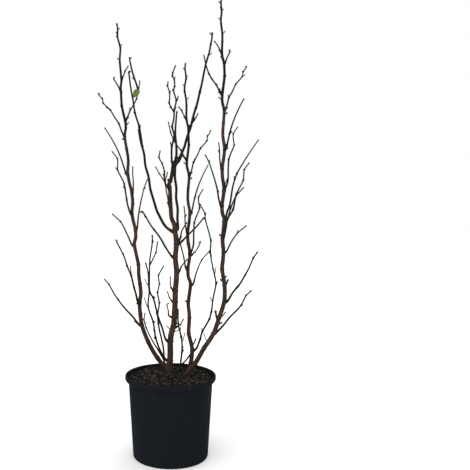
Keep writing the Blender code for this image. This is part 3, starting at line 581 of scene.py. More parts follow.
class Shrub:
    """Every limb, what it stands on, and the masses that limbs belong to."""

    def __init__(self):
        self.limbs, self.stands, self.masses, self.canes = {}, {}, {}, {}
        self.rng = random.Random(SEED)
        for name, cane in CANES.items():
            self.grow_cane(name, cane)
        ground = soil_stand(*TRUNK_FOOT)
        trunk = grown_limb(TRUNK, ground, *TRUNK_RADII, False, self.rng)
        self.limbs["centre_stem"] = kinked(trunk, TRUNK_KINKS)
        self.stands["centre_stem"] = Stand(None, 0, "soil")
        for name, growth in GROWTHS.items():
            self.grow(name, *growth)

    def grow_cane(self, name, cane):
        whole = cane_limb(cane)
        self.canes[f"{name}_cane"] = whole
        self.stands[f"{name}_cane"] = Stand(None, 0, "soil")
        self.limbs[f"{name}_stem"] = part_of(whole, whole.drops[0], CANE_TOP_MASS)
        mass = f"{name}_top_twigs"
        self.limbs[mass] = part_of(whole, CANE_TOP_MASS - GAP, 0.0)
        self.masses[mass] = [mass]
        for letter, shoot in CANE_TOP_SHOOTS.items():
            self.add_twig(f"{name}_top_{letter}", shoot, f"{name}_cane", whole, mass)
        for letter in cane.shoots:
            self.add_twig(f"{name}_shoot_{letter}", CANE_SHOOTS[letter], f"{name}_cane", whole, None)

    def add_twig(self, name, shoot, on, parent, mass, foot_radius=None, tip_radius=SHOOT_TIP_RADIUS):
        foot_radius = foot_radius or SHOOT_FOOT_RADIUS + SHOOT_THICKENING * math.hypot(*shoot[1:3])
        self.limbs[name] = grown_limb(shoot, parent, foot_radius, tip_radius, bool(mass), self.rng)
        self.masses.setdefault(mass or name, []).append(name)
        how = "soil" if on == "soil" else "end" if shoot.drop == 0 else "fused" if mass else "side"
        self.stands[name] = Stand(on, shoot.drop, how)

    def grow(self, name, on, sizes, foot_radius, tip_radius, mass=None):
        parent = soil_stand(*SOIL_FEET[name]) if on == "soil" else self.limbs[on]
        parent = parent._replace(mirror=1, lean=0.0, turn=1)
        on = on.replace("middle_stem", "middle_cane")
        self.add_twig(name, Shoot(*sizes), on, parent, mass, foot_radius, tip_radius)
        if name in BOUGHS:
            del self.masses[name]

    def knots(self):
        """The knots of every mass's twigs, drawn in the solids' own order."""
        samples = {}
        for name, limb in self.limbs.items():
            line = Line(limb.points, limb.radii, travel_of(limb.points), [])
            samples[name] = on_line(line, np.arange(0.0, line.travel[-1], SAMPLE_STEP))
        return {member: self.knots_along(self.limbs[member], members, samples)
                for members in self.masses.values() for member in members}

    def knots_along(self, limb, own, samples):
        """Knots that turn round a twig by BUD_TURN, some with a spur where there is room."""
        travel = travel_of(limb.points)
        turn = self.rng.uniform(0.0, 2.0 * math.pi)
        spot = FIRST_BUD
        found = []
        while spot < travel[-1] - LAST_INTERNODE * INTERNODE:
            centre = along_line(spot, travel, limb.points)
            index = int(np.searchsorted(travel, spot))
            ahead = unit(limb.points[index] - limb.points[index - 1])
            across = unit(np.cross(ahead, (0.0, 1.0, 0.05)))
            aside = across * math.cos(turn) + np.cross(ahead, across) * math.sin(turn)
            length = self.rng.uniform(*SPUR_LENGTHS)
            spur = self.rng.random() < SPUR_SHARE
            tip = centre + unit(ahead + aside * SPUR_SPREAD) * length
            spur = spur and in_space(tip, limb) and clear_of_others(tip, SPUR_RADIUS, own, samples)
            found.append(Knot(spot, aside, spur, length))
            turn += BUD_TURN
            spot += INTERNODE * self.rng.uniform(*INTERNODE_SHARES)
        return found


def bends_of(name):
    """Side and height at which each bend of a limb is seen, from its foot up."""
    cane = CANES.get(name.split("_")[0])
    if name in BENDS or cane is None or name[-2] != "_":
        return BENDS.get(name, ())
    return [cane_seen(cane, out, drop) for drop, out in CANE_BENDS.get(name[-1], ())]


def bent(limb, bends, tip):
    """A limb led through its bends at its own depth, and a knot on the outer side of sharp ones."""
    heights = np.array([seen(point)[1] for point in limb.points])
    foot = [point for index, point in enumerate(limb.points[:-1])
            if index == 0 or heights[index] < bends[0][1] - KINK_MARGIN]
    middle = [placed(side, np.interp(height, heights, limb.points[:, 1]), height)
              for side, height in bends]
    end = placed(tip[0], limb.points[-1][1], tip[1]) if tip else limb.points[-1]
    points = np.array([*foot, *middle, end])
    travel, before = travel_of(points), travel_of(limb.points)
    radii = np.interp(travel / travel[-1], before / before[-1], limb.radii)
    knots = []
    for index in range(len(foot), len(points) - 1):
        turning = unit(points[index] - points[index - 1]) - unit(points[index + 1] - points[index])
        if np.linalg.norm(turning) > SHARP_BEND:
            knots.append(Knot(travel[index], unit(turning), False, 0.0))
    return limb._replace(points=points, radii=radii, drops=np.interp(travel, before, limb.drops)), knots


def between(a, b, low, high, spots):
    """Straight blend from a at low to b at high."""
    share = (spots - low) / (high - low)
    return a + (b - a) * share


def curve_through(points, step):
    """Smooth curve through a limb's points, with a station about every step."""
    ends = np.vstack([2.0 * points[0] - points[1], points, 2.0 * points[-1] - points[-2]])
    knots = np.concatenate([[0.0], np.cumsum(np.sqrt(np.linalg.norm(np.diff(ends, axis=0), axis=1)))])
    stretches = []
    for index in range(1, len(ends) - 2):
        count = max(1, round(np.linalg.norm(ends[index + 1] - ends[index]) / step))
        a, b, c, d = ends[index - 1:index + 3]
        ta, tb, tc, td = knots[index - 1:index + 3]
        spots = np.linspace(tb, tc, count, endpoint=False)[:, None]
        left = between(a, b, ta, tb, spots)
        middle = between(b, c, tb, tc, spots)
        right = between(c, d, tc, td, spots)
        low = between(left, middle, ta, tc, spots)
        high = between(middle, right, tb, td, spots)
        stretches.append(between(low, high, tb, tc, spots))
    return np.vstack([*stretches, points[-1:]])


def swayed(smooth, travel, knots, sway):
    """The line pushed over towards the bud at each knot."""
    spots = [0.0, *[knot.travel for knot in knots], travel[-1]]
    pushes = [np.zeros(3), *[knot.aside * sway for knot in knots], np.zeros(3)]
    return smooth + along_line(travel, np.array(spots), np.array(pushes))


def swollen(travel, radii, knots, swell):
    """Radii that swell at each knot, with its fine ring."""
    growth = np.ones(len(travel))
    for knot in knots:
        off = travel - knot.travel
        growth += swell * np.exp(-(off / KNOT_WIDTH) ** 2)
        growth += RING_SWELL * np.exp(-((off - RING_ABOVE) / RING_WIDTH) ** 2)
    return radii * growth


def moved(knots, by):
    """Knots moved along their limb."""
    return [knot._replace(travel=knot.travel + by) for knot in knots]


def fine_line(limb, lead, knots, sway, swell):
    """A limb's smooth line, swayed and swollen at its knots, and the length of its lead-in."""
    smooth = curve_through(np.vstack([*lead, limb.points]), LINE_STEP)
    travel = travel_of(smooth)
    sunk = np.linalg.norm(limb.points[0] - lead[0]) if lead else 0.0
    knots = moved(knots, sunk)
    radii = swollen(travel, np.interp(travel, travel_of(limb.points) + sunk, limb.radii), knots, swell)
    return Line(swayed(smooth, travel, knots, sway), radii, travel, knots), sunk


def stem_line(limb, knots):
    """A stem from just under the soil to its tip, widened at its foot."""
    lead = [limb.points[0] - (0.0, 0.0, FOOT_SINK)]
    line = fine_line(limb, lead, knots, STEM_SWAY, STEM_KNOT_SWELL)[0]
    above = np.clip(line.points[:, 2] - SOIL_LEVEL, 0.0, None)
    return line._replace(radii=line.radii * (1.0 + FLARE * np.exp(-above / FLARE_LENGTH)))


def footed(line, how, sunk, widest):
    """Radii widened into a collar at the foot, or run on from the end of the limb below."""
    past = np.clip(line.travel - sunk, 0.0, None)
    if how == "end":
        share = np.clip(past / END_SWELL_LENGTH, 0.0, 1.0)
        share = share * share * (3.0 - 2.0 * share)
        return widest / FOOT_SHARE + (line.radii - widest / FOOT_SHARE) * share
    if how == "fused":
        past = np.clip(line.travel - widest / FOOT_SHARE, 0.0, None)
    wide = line.radii * (1.0 + FOOT_FLARE * np.exp(-past / FOOT_FLARE_LENGTH))
    held = np.minimum(wide, np.maximum(line.radii, widest))
    return np.where(past < 3.0 * FOOT_FLARE_LENGTH, held, wide)


class FineShrub:
    """The fine line of every limb, grown in the order in which limbs stand on each other."""

    def __init__(self, shrub):
        self.shrub = shrub
        self.rng = random.Random(DETAIL_SEED)
        self.knots = shrub.knots()
        self.solids = dict(shrub.limbs)
        self.bent = set()
        for name in self.solids:
            self.bend(name)
        self.lines = {}
        self.spurs, self.buds, self.end_buds, self.scars, self.leaves = [], [], [], [], []
        for name, whole in shrub.canes.items():
            self.lines[name] = stem_line(whole, self.cane_knots(name, whole))
        trunk = shrub.limbs["centre_stem"]
        self.lines["centre_stem"] = stem_line(trunk, self.side_knots("centre_stem", trunk, 1.0))
        for name, stand in shrub.stands.items():
            if name not in self.lines:
                self.lines[name] = self.grown_line(name, stand)
        for name in self.knots:
            self.dress(name)
        for name, stubs in [*[(cane, CANE_STUBS) for cane in shrub.canes], *STUBS.items()]:
            for stub in stubs:
                self.add_stub(name, *stub)
        self.add_growth([placed(*point) for point in BACK_FOOT], BACK_FOOT_RADIUS, BACK_FOOT_RADIUS)

    def bend(self, name):
        """Thickens a limb where it is thicker, and leads it through its bends if it has any."""
        limb = self.solids[name]
        letter = name[-1] if name[-2] == "_" and name.split("_")[0] in CANES else None
        more = THICKER_TWIGS.get(name, THICKER.get(letter, 1.0))
        limb = limb._replace(radii=limb.radii * more)
        bends = bends_of(name)
        if bends:
            limb, knots = bent(limb, bends, TIPS.get(name))
            if name in self.knots:
                spurs = [knot for knot in self.knots[name] if knot.spur]
                self.knots[name] = sorted(knots + spurs, key=lambda knot: knot.travel)
            self.bent.add(name)
        self.shrub.limbs[name] = limb

    def side_knots(self, name, limb, lowest):
        """A knot at the foot of each shoot of a stem, and others where shoots stand far apart."""
        travel = travel_of(limb.points)
        found = []
        for other, stand in self.shrub.stands.items():
            if stand.on == name and stand.drop >= lowest and stand.how in ("side", "fused"):
                point, along, _ = at_drop(limb, stand.drop)
                away = self.shrub.limbs[other].points[1] - point
                aside = unit(away - along * away.dot(along))
                place = np.interp(-stand.drop, -limb.drops, travel)
                found.append(Knot(place, aside, False, 0.0))
        found.sort(key=lambda knot: knot.travel)
        filled = []
        last = 0.0
        for knot in found:
            spare = int((knot.travel - last) / STEM_KNOT_STEP)
            for index in range(spare):
                place = last + (knot.travel - last) * (index + 1) / (spare + 1)
                angle = self.rng.uniform(0.0, 2.0 * math.pi)
                filled.append(Knot(place, np.array([math.cos(angle), math.sin(angle), 0.0]), False, 0.0))
            filled.append(knot)
            last = knot.travel
        return filled

    def cane_knots(self, name, whole):
        """A cane's knots: at its shoots on the stem, and by the twigs' rule on its top."""
        top = name.replace("cane", "top_twigs")
        low = self.side_knots(name, whole, CANE_TOP_MASS)
        split = np.interp(-(CANE_TOP_MASS - GAP), -whole.drops, travel_of(whole.points))
        return low + moved(self.knots[top], split)

    def grown_line(self, name, stand):
        """A bough or twig that starts inside what it stands on, with a collar at its foot."""
        limb = self.shrub.limbs[name]
        is_bent = name in self.bent
        if stand.how == "soil":
            lead = [limb.points[0] - (0.0, 0.0, FOOT_SINK)]
            shift = np.zeros(3)
            widest = SOIL_FOOT * limb.radii[0]
        else:
            parent = self.lines[stand.on]
            solid = self.shrub.canes.get(stand.on) or self.solids[stand.on]
            axis, along, _ = at_drop(solid, stand.drop)
            nearest = int(np.linalg.norm(parent.points - axis, axis=1).argmin())
            shift = parent.points[nearest] - axis
            widest = FOOT_SHARE * parent.radii[nearest]
            lead = {"end": [axis - along * FOOT_SINK], "side": [axis], "fused": []}[stand.how]
        sway, follow = (0.0, BENT_FOOT_FOLLOW) if is_bent else (TWIG_SWAY, FOOT_FOLLOW)
        line, sunk = fine_line(limb, lead, self.knots.get(name, []), sway, KNOT_SWELL)
        points = line.points + np.outer(np.exp(-line.travel / follow), shift)
        return line._replace(points=points, radii=footed(line, stand.how, sunk, widest))

    def dress(self, name):
        """Buds, leaf scars and spurs at a twig's knots, then its end."""
        cane = name.replace("top_twigs", "cane")
        line = self.lines[cane if name.endswith("top_twigs") else name]
        first = line.travel[-1] - travel_of(self.shrub.limbs[name].points)[-1] - 1.0
        for knot in line.knots:
            if knot.travel < first:
                continue
            centre = along_line(knot.travel, line.travel, line.points)
            ahead = unit(along_line(knot.travel + 2.0, line.travel, line.points) - centre)
            aside = unit(knot.aside - ahead * knot.aside.dot(ahead))
            thick = float(along_line(knot.travel, line.travel, line.radii))
            foot = centre + aside * thick * SCAR_SEAT - ahead * SCAR_BELOW
            self.scars.append(Seat(foot, aside, 1.0, 1.0, ahead))
            fine = self.rng.random() < FINE_SPUR_SHARE
            fine_length = self.rng.uniform(*FINE_SPUR_LENGTHS)
            if knot.spur:
                self.add_spur(centre, ahead, aside, SPUR_SHOWN * knot.length, SPUR_RADIUS)
            elif fine:
                self.add_spur(centre, ahead, aside, fine_length + thick, FINE_SPUR_RADIUS)
            else:
                size = self.rng.uniform(*BUD_SIZES)
                way = unit(ahead + aside * BUD_SPREAD)
                foot = centre + aside * thick * BUD_SEAT
                self.buds.append(Seat(foot, way, BUD_LENGTH * size, BUD_RADIUS * size, aside))
        self.end(name, line)

    def add_growth(self, points, radius, tip_radius):
        """A short piece of wood through some points, with crowded rings; returns its end and way."""
        points = curve_through(np.array(points), SPUR_LINE_STEP)
        travel = travel_of(points)
        rings = 1.0 + SPUR_RING_SWELL * np.cos(travel * 2.0 * math.pi / SPUR_RING_STEP)
        flare = 1.0 + SPUR_FLARE * np.exp(-travel / SPUR_FLARE_LENGTH)
        taper = radius + (tip_radius - radius) * travel / travel[-1]
        self.spurs.append(Line(points, taper * rings * flare, travel, []))
        way = unit(points[-1] - points[-3])
        return points[-1] - way * SIDE_BUD_SUNK, way

    def add_spur(self, centre, ahead, aside, length, radius):
        """A short spur that bends up towards its bud."""
        way = unit(ahead + aside * SPUR_SPREAD)
        bend = unit(way + ahead * SPUR_CURL)
        middle = centre + way * SPUR_HALF * length
        end, bend = self.add_growth([centre, middle, middle + bend * SPUR_HALF * length], radius, radius)
        self.buds.append(Seat(end, bend, SPUR_BUD_SHARE * length + SPUR_BUD_LENGTH,
                              radius * SPUR_BUD_WIDTH, aside))

    def add_stub(self, name, drop, reach, rise, radius):
        """A short side growth of a limb, bent up a little, with a small bud at its end."""
        solid = self.shrub.canes.get(name) or self.shrub.limbs[name]
        line = self.lines[name]
        off = np.linalg.norm(line.points - at_drop(solid, drop)[0], axis=1)
        foot = line.points[int(off.argmin())]
        side, height = outward(solid, reach, rise)
        step = np.array([side, self.rng.uniform(-STUB_DEPTH, STUB_DEPTH) * reach, height])
        middle = foot + 0.5 * step + np.array([STUB_SAG * side, 0.0, -STUB_SAG * abs(reach)])
        end, way = self.add_growth([foot, middle, foot + step], radius, STUB_TAPER * radius)
        self.buds.append(Seat(end, way, STUB_BUD_LENGTH + STUB_BUD_SHARE * radius,
                              STUB_BUD_WIDTH * radius, unit(np.cross(way, (0, 1, 0)))))

    def end(self, name, line):
        """The end bud, an opening tip's first leaves, or a dark hook that bends over inwards."""
        ahead = unit(line.points[-1] - line.points[-4])
        tip, thin = line.points[-1], line.radii[-1]
        inward = (line.points[0] - line.points[-1]) * (1.0, 1.0, 0.0)
        aside = unit(inward - ahead * inward.dot(ahead))
        if name in LEAF_TIPS:
            self.end_buds.append(Seat(tip - ahead * END_BUD_SUNK, unit(ahead + aside * 0.3), 6.0,
                                      thin * END_BUD_WIDTH, aside))
            self.leaves += [Seat(tip, unit(ahead + aside * 0.15), 12.0, 2.2, aside),
                            Seat(tip + ahead * 8.0 + aside, unit(aside - ahead * 0.8), 9.0, 2.0, aside)]
        elif name in DARK_HOOKS:
            hook = [tip + ahead * up + aside * over for up, over in DARK_HOOK]
            end, way = self.add_growth(hook, thin, 0.8 * thin)
            self.buds.append(Seat(end, way, 5.0, 1.2 * thin, aside))
        else:
            sunk = CANE_BUD_SUNK if name.endswith("top_twigs") else END_BUD_SUNK
            foot = tip - ahead * sunk
            self.end_buds.append(Seat(foot, ahead, END_BUD_LENGTH, thin * END_BUD_WIDTH, aside))


def srgb(text):
    """Linear colour of an sRGB hex value."""
    channels = [int(text[index:index + 2], 16) / 255.0 for index in (1, 3, 5)]
    linear = [c / 12.92 if c <= 0.04045 else ((c + 0.055) / 1.055) ** 2.4 for c in channels]
    return (*linear, 1.0)


def node(tree, kind, inputs=None, out=0, **settings):
    """Adds a node with its settings and returns one output; an input is a value or a socket."""
    made = tree.nodes.new(kind)
    for name, value in settings.items():
        setattr(made, name, value)
    for name, value in (inputs or {}).items():
        if isinstance(value, bpy.types.NodeSocket):
            tree.links.new(value, made.inputs[name])
        else:
            made.inputs[name].default_value = value
    return made.outputs[out] if made.outputs else None


def finish(name, **sockets):
    """A new material and its tree; sockets are its shader's own values."""
    made = bpy.data.materials.new(name)
    made.use_nodes = True
    for socket, value in sockets.items():
        made.node_tree.nodes["Principled BSDF"].inputs[socket.replace("_", " ")].default_value = value
    return made, made.node_tree


def fed(made, **sockets):
    """The material, with sockets of its tree linked to its shader."""
    tree = made.node_tree
    for name, socket in sockets.items():
        tree.links.new(socket, tree.nodes["Principled BSDF"].inputs[name.replace("_", " ")])
    return made


def surfaced(made, colour, relief, depth_mm, strength):
    """The material with its colour, and with bump whose height runs over depth_mm."""
    bump = node(made.node_tree, "ShaderNodeBump", {"Height": relief, "Distance": depth_mm * MM,
                                                   "Strength": strength})
    return fed(made, Base_Color=colour, Normal=bump)


def pattern(tree, size_mm, detail=3.0, roughness=0.55, stretch=(1.0, 1.0, 1.0)):
    """Noise on the object whose patches are about size_mm across, times stretch."""
    place = node(tree, "ShaderNodeTexCoord", out="Object")
    scale = tuple(1.0 / share for share in stretch)
    drawn = node(tree, "ShaderNodeMapping", {"Vector": place, "Scale": scale})
    return node(tree, "ShaderNodeTexNoise", {"Vector": drawn, "Scale": 1.0 / (size_mm * MM),
                                             "Detail": detail, "Roughness": roughness})


def height_in(tree):
    """Height above the floor, in metres."""
    place = node(tree, "ShaderNodeTexCoord", out="Object")
    return node(tree, "ShaderNodeSeparateXYZ", {"Vector": place}, out="Z")


def laid(tree, value, low, high, share, below, above):
    """Colour above laid over the one below, by up to share, as value runs from low to high."""
    amount = node(tree, "ShaderNodeMapRange", {"Value": value, "From Min": low, "From Max": high,
                                               "To Max": share})
    below, above = (srgb(colour) if isinstance(colour, str) else colour for colour in (below, above))
    return node(tree, "ShaderNodeMix", {0: amount, 6: below, 7: above}, out=2, data_type="RGBA")


def young_magnolia_bark(name, turns_at, turned_at):
    """Young magnolia bark: matt red-brown wood low down that turns a smooth olive black between
    two heights, drawn out in fine darker and greyer streaks along the stem, with pale pores. The
    lowest centimetres are stained by the mix."""
    made, tree = finish(name, Roughness=0.85, Specular_IOR_Level=0.12)
    height = height_in(tree)
    streaks = pattern(tree, 2.6, 5.0, 0.6, (1.0, 1.0, 6.0))
    patches = pattern(tree, 26.0, 3.0, 0.6, (1.0, 1.0, 2.5))
    pores = pattern(tree, 1.4, 1.0, 0.4, (1.6, 1.6, 0.8))
    colour = laid(tree, patches, 0.4, 0.68, 1.0, "#33271f", "#4a332a")
    colour = laid(tree, height, turns_at, turned_at, 1.0, colour, "#12150b")
    colour = laid(tree, streaks, 0.47, 0.64, 0.85, colour, "#100d0b")
    pale = laid(tree, height, turns_at, turned_at, 1.0, "#57493f", "#3a3d2b")
    colour = laid(tree, streaks, 0.46, 0.32, 0.35, colour, pale)
    colour = laid(tree, pores, 0.67, 0.73, 0.45, colour, "#7f6c5c")
    colour = laid(tree, height, 0.268, 0.243, 0.7, colour, "#201c19")
    return surfaced(made, colour, streaks, 0.6, 0.9)


def twig_bark():
    """Last summer's wood: thin, nearly black bark with an olive cast and a faint waxy shine."""
    made, tree = finish("olive_black_twig_bark", Roughness=0.6, Specular_IOR_Level=0.08)
    grain = pattern(tree, 1.8, 3.0, 0.55, (1.0, 1.0, 4.0))
    colour = laid(tree, grain, 0.35, 0.7, 1.0, "#0e0f0a", "#1f2017")
    colour = laid(tree, pattern(tree, 1.1, 1.0, 0.4), 0.68, 0.74, 0.5, colour, "#504a3b")
    return surfaced(made, colour, grain, 0.25, 0.6)


def downy_bud_scale(name, colour, lighter):
    """Bud scale under short silky down, which greys its colour and takes its shine."""
    made, tree = finish(name, Roughness=0.85, Specular_IOR_Level=0.15, Sheen_Weight=0.08,
                        Sheen_Roughness=0.5)
    down = pattern(tree, 0.7, 2.0, 0.5, (1.0, 1.0, 3.0))
    return surfaced(made, laid(tree, down, 0.3, 0.7, 1.0, colour, lighter), down, 0.2, 0.6)


def first_leaf_green(name, colour, lighter):
    """A first leaf: fresh green, soft and slightly waxy, paler in patches."""
    made, tree = finish(name, Roughness=0.5, Specular_IOR_Level=0.3)
    colour = laid(tree, pattern(tree, 5.0), 0.0, 1.0, 1.0, colour, lighter)
    return surfaced(made, colour, pattern(tree, 1.2), 0.15, 0.5)


def moulded_polypropylene():
    """Black moulded polypropylene: a fine satin surface, a little blue, with dust in its grain and
    faint paler drag marks that run down from the rim."""
    made, tree = finish("moulded_polypropylene", Roughness=0.6, IOR=1.49, Specular_IOR_Level=0.01)
    clouds = pattern(tree, 70.0, 3.0, 0.6)
    drags = pattern(tree, 3.0, 2.0, 0.5, (1.0, 1.0, 22.0))
    toned = laid(tree, clouds, 0.35, 0.65, 1.0, "#17191d", "#15191c")
    marked = laid(tree, drags, 0.66, 0.76, 0.3, toned, "#484d52")
    colour = laid(tree, height_in(tree), 0.17, 0.225, 1.0, toned, marked)
    wear = node(tree, "ShaderNodeMapRange", {"Value": clouds, "From Min": 0.3, "From Max": 0.7,
                                             "To Min": 0.58, "To Max": 0.7})
    return surfaced(fed(made, Roughness=wear), colour, pattern(tree, 0.8, 2.0), 0.08, 0.5)


def potting_mix_finish(name, dark, light, size_mm):
    """Damp potting mix: nearly black peat, crumbly and without any shine."""
    made, tree = finish(name, Roughness=1.0, Specular_IOR_Level=0.05)
    crumbs = pattern(tree, size_mm, 5.0, 0.65)
    return surfaced(made, laid(tree, crumbs, 0.35, 0.7, 1.0, dark, light), crumbs, 1.0, 0.8)


def studio_paper():
    """Seamless white studio paper."""
    made, tree = finish("studio_paper", Roughness=0.8)
    return fed(made, Base_Color=laid(tree, pattern(tree, 400.0), 0.0, 1.0, 1.0, "#f6f6f4", "#fafaf9"))


def shown(name, data):
    """A new object in the scene."""
    made = bpy.data.objects.new(name, data)
    bpy.context.scene.collection.objects.link(made)
    return made


def new_mesh(name, verts, faces=(), edges=(), scale=MM):
    """A mesh whose sizes are given in millimetres, or in metres for a scale of one."""
    mesh = bpy.data.meshes.new(name)
    mesh.from_pydata([Vector(vert) * scale for vert in verts], edges, faces)
    return mesh


def mesh_object(name, *shape, **more):
    """A new mesh in the scene."""
    return shown(name, new_mesh(name, *shape, **more))


def store(base, label, kind, values):
    """Stores a value at each point of an object."""
    field = {"FLOAT": "value", "FLOAT_VECTOR": "vector"}[kind]
    stored = base.data.attributes.new(label, kind, "POINT")
    stored.data.foreach_set(field, np.array(values, np.float32).ravel())


def new_tree(name, sizes):
    """A Geometry Nodes tree with its named inputs; returns it and its input node's sockets."""
    tree = bpy.data.node_groups.new(name, "GeometryNodeTree")
    for label, kind in {"Geometry": "Geometry", **sizes}.items():
        tree.interface.new_socket(label, in_out="INPUT", socket_type="NodeSocket" + kind)
    tree.interface.new_socket("Geometry", in_out="OUTPUT", socket_type="NodeSocketGeometry")
    return tree, tree.nodes.new("NodeGroupInput").outputs


def end_tree(tree, geometry, material):
    """Realizes what a tree has made, gives it its material and sends it out."""
    real = node(tree, "GeometryNodeRealizeInstances", {"Geometry": geometry})
    clad = node(tree, "GeometryNodeSetMaterial", {"Geometry": real, "Material": material})
    node(tree, "NodeGroupOutput", {"Geometry": clad})
    return tree


def made_by(tree, name, base, values):
    """A plain mesh object: what the tree makes of base with these values for its inputs."""
    modifier = base.modifiers.new(tree.name, "NODES")
    modifier.node_group = tree
    for item in tree.interface.items_tree:
        if item.name in values:
            modifier[item.identifier] = values[item.name]
    bpy.context.view_layer.update()
    graph = bpy.context.evaluated_depsgraph_get()
    mesh = bpy.data.meshes.new_from_object(base.evaluated_get(graph))
    bpy.data.objects.remove(base)
    mesh.name = name
    return shown(name, mesh)


def lifted(tree, geometry, offset):
    """Geometry whose surface is moved by offset and shaded smooth."""
    raised = node(tree, "GeometryNodeSetPosition", {"Geometry": geometry, "Offset": offset})
    return node(tree, "GeometryNodeSetShadeSmooth", {"Geometry": raised})


def bark_tree():
    """Skins limb lines: a ring of the line's own radius at each station, raised by fine relief."""
    tree, given = new_tree("bark_on_limbs", {"Sides": "Int", "Relief": "Float", "Ridge Size": "Float",
                                             "Bark": "Material"})
    radius = node(tree, "GeometryNodeInputNamedAttribute", {"Name": "radius"})
    ring = node(tree, "GeometryNodeCurvePrimitiveCircle", {"Resolution": given["Sides"], "Radius": 1.0})
    lines = node(tree, "GeometryNodeMeshToCurve", {"Mesh": given["Geometry"]})
    skin = node(tree, "GeometryNodeCurveToMesh", {"Curve": lines, "Profile Curve": ring,
                                                  "Scale": radius, "Fill Caps": True})
    place = node(tree, "GeometryNodeInputPosition")
    drawn = node(tree, "ShaderNodeVectorMath", {0: place, 1: (1.0, 1.0, 0.2)}, operation="MULTIPLY")
    ridges = node(tree, "ShaderNodeTexNoise", {"Vector": drawn, "Scale": given["Ridge Size"],
                                               "Detail": 3.0, "Roughness": 0.6})
    centred = node(tree, "ShaderNodeMath", {0: ridges, 1: 0.5}, operation="SUBTRACT")
    depth = node(tree, "ShaderNodeMath", {0: radius, 1: given["Relief"]}, operation="MULTIPLY")
    height = node(tree, "ShaderNodeMath", {0: centred, 1: depth}, operation="MULTIPLY")
    outwards = node(tree, "GeometryNodeInputNormal")
    lift = node(tree, "ShaderNodeVectorMath", {0: outwards, "Scale": height}, operation="SCALE")
    return end_tree(tree, lifted(tree, skin, lift), given["Bark"])


def planting_tree():
    """Sets a small piece at each seat, its Z along the seat's way and sized by the seat."""
    tree, given = new_tree("set_on_wood", {"Piece": "Object", "Finish": "Material"})
    way, side, size = (node(tree, "GeometryNodeInputNamedAttribute", {"Name": label},
                            data_type="FLOAT_VECTOR") for label in ("way", "side", "size"))
    piece = node(tree, "GeometryNodeObjectInfo", {"Object": given["Piece"]}, out="Geometry")
    points = node(tree, "GeometryNodeMeshToPoints", {"Mesh": given["Geometry"]})
    upright = node(tree, "FunctionNodeAlignRotationToVector", {"Vector": way}, axis="Z")
    facing = node(tree, "FunctionNodeAlignRotationToVector", {"Rotation": upright, "Vector": side},
                  axis="X", pivot_axis="Z")
    pieces = node(tree, "GeometryNodeInstanceOnPoints", {"Points": points, "Instance": piece,
                                                         "Rotation": facing, "Scale": size})
    return end_tree(tree, pieces, given["Finish"])


def scatter_tree():
    """Scatters small pieces over a surface, flat on it, turned and sized at random."""
    tree, given = new_tree("scattered_mix", {"Piece": "Object", "Per Square Metre": "Float",
                                             "Least Size": "Float", "Most Size": "Float",
                                             "Tilt": "Float", "Seed": "Int", "Finish": "Material"})
    points = node(tree, "GeometryNodeDistributePointsOnFaces",
                  {"Mesh": given["Geometry"], "Density": given["Per Square Metre"],
                   "Seed": given["Seed"]})
    piece = node(tree, "GeometryNodeObjectInfo", {"Object": given["Piece"]}, out="Geometry")
    back = node(tree, "ShaderNodeMath", {0: given["Tilt"], 1: -1.0}, operation="MULTIPLY")
    size, lean, spin = (node(tree, "FunctionNodeRandomValue", {2: least, 3: most, "Seed": seed}, out=1)
                        for least, most, seed in ((given["Least Size"], given["Most Size"],
                                                   given["Seed"]), (back, given["Tilt"], LEAN_SEED),
                                                  (0.0, 2.0 * math.pi, SPIN_SEED)))
    turn = node(tree, "ShaderNodeCombineXYZ", {"X": lean, "Y": lean, "Z": spin})
    loose = node(tree, "FunctionNodeRotateRotation",
                 {"Rotation": points.node.outputs["Rotation"], "Rotate By": turn}, rotation_space="LOCAL")
    chips = node(tree, "GeometryNodeInstanceOnPoints", {"Points": points, "Instance": piece,
                                                        "Rotation": loose, "Scale": size})
    return end_tree(tree, chips, given["Finish"])


def relief_tree():
    """Raises a soil surface into clods and crumbs, by as much as it is loose."""
    tree, given = new_tree("crumbly_surface", {"Clods": "Float", "Crumbs": "Float", "Soil": "Material"})
    place = node(tree, "GeometryNodeInputPosition")
    parts = []
    for label, (scale, detail, _) in (("Clods", CLODS), ("Crumbs", CRUMBS)):
        rough = node(tree, "ShaderNodeTexNoise", {"Vector": place, "Scale": scale, "Detail": detail})
        parts.append(node(tree, "ShaderNodeMath", {0: rough, 1: given[label]}, operation="MULTIPLY"))
    both = node(tree, "ShaderNodeMath", {0: parts[0], 1: parts[1]}, operation="ADD")
    loose = node(tree, "GeometryNodeInputNamedAttribute", {"Name": "loose"})
    lift = node(tree, "ShaderNodeMath", {0: both, 1: loose}, operation="MULTIPLY")
    offset = node(tree, "ShaderNodeCombineXYZ", {"Z": lift})
    return end_tree(tree, lifted(tree, given["Geometry"], offset), given["Soil"])


def part_line(line, low, high):
    """The stretch of a line between two places along it."""
    spots = np.concatenate([[low], line.travel[(line.travel > low) & (line.travel < high)], [high]])
    knots = [knot for knot in line.knots if low <= knot.travel <= high]
    return Line(*on_line(line, spots), spots - low, moved(knots, -low))


def stationed(line, step):
    """A line's points and radii at even stations, with closer ones at its knots."""
    length = line.travel[-1]
    spots = list(np.linspace(0.0, length, max(3, round(length / step))))
    spots += [knot.travel + off for knot in line.knots for off in KNOT_STATIONS]
    return on_line(line, np.unique(np.clip(spots, 0.0, length).round(2)))


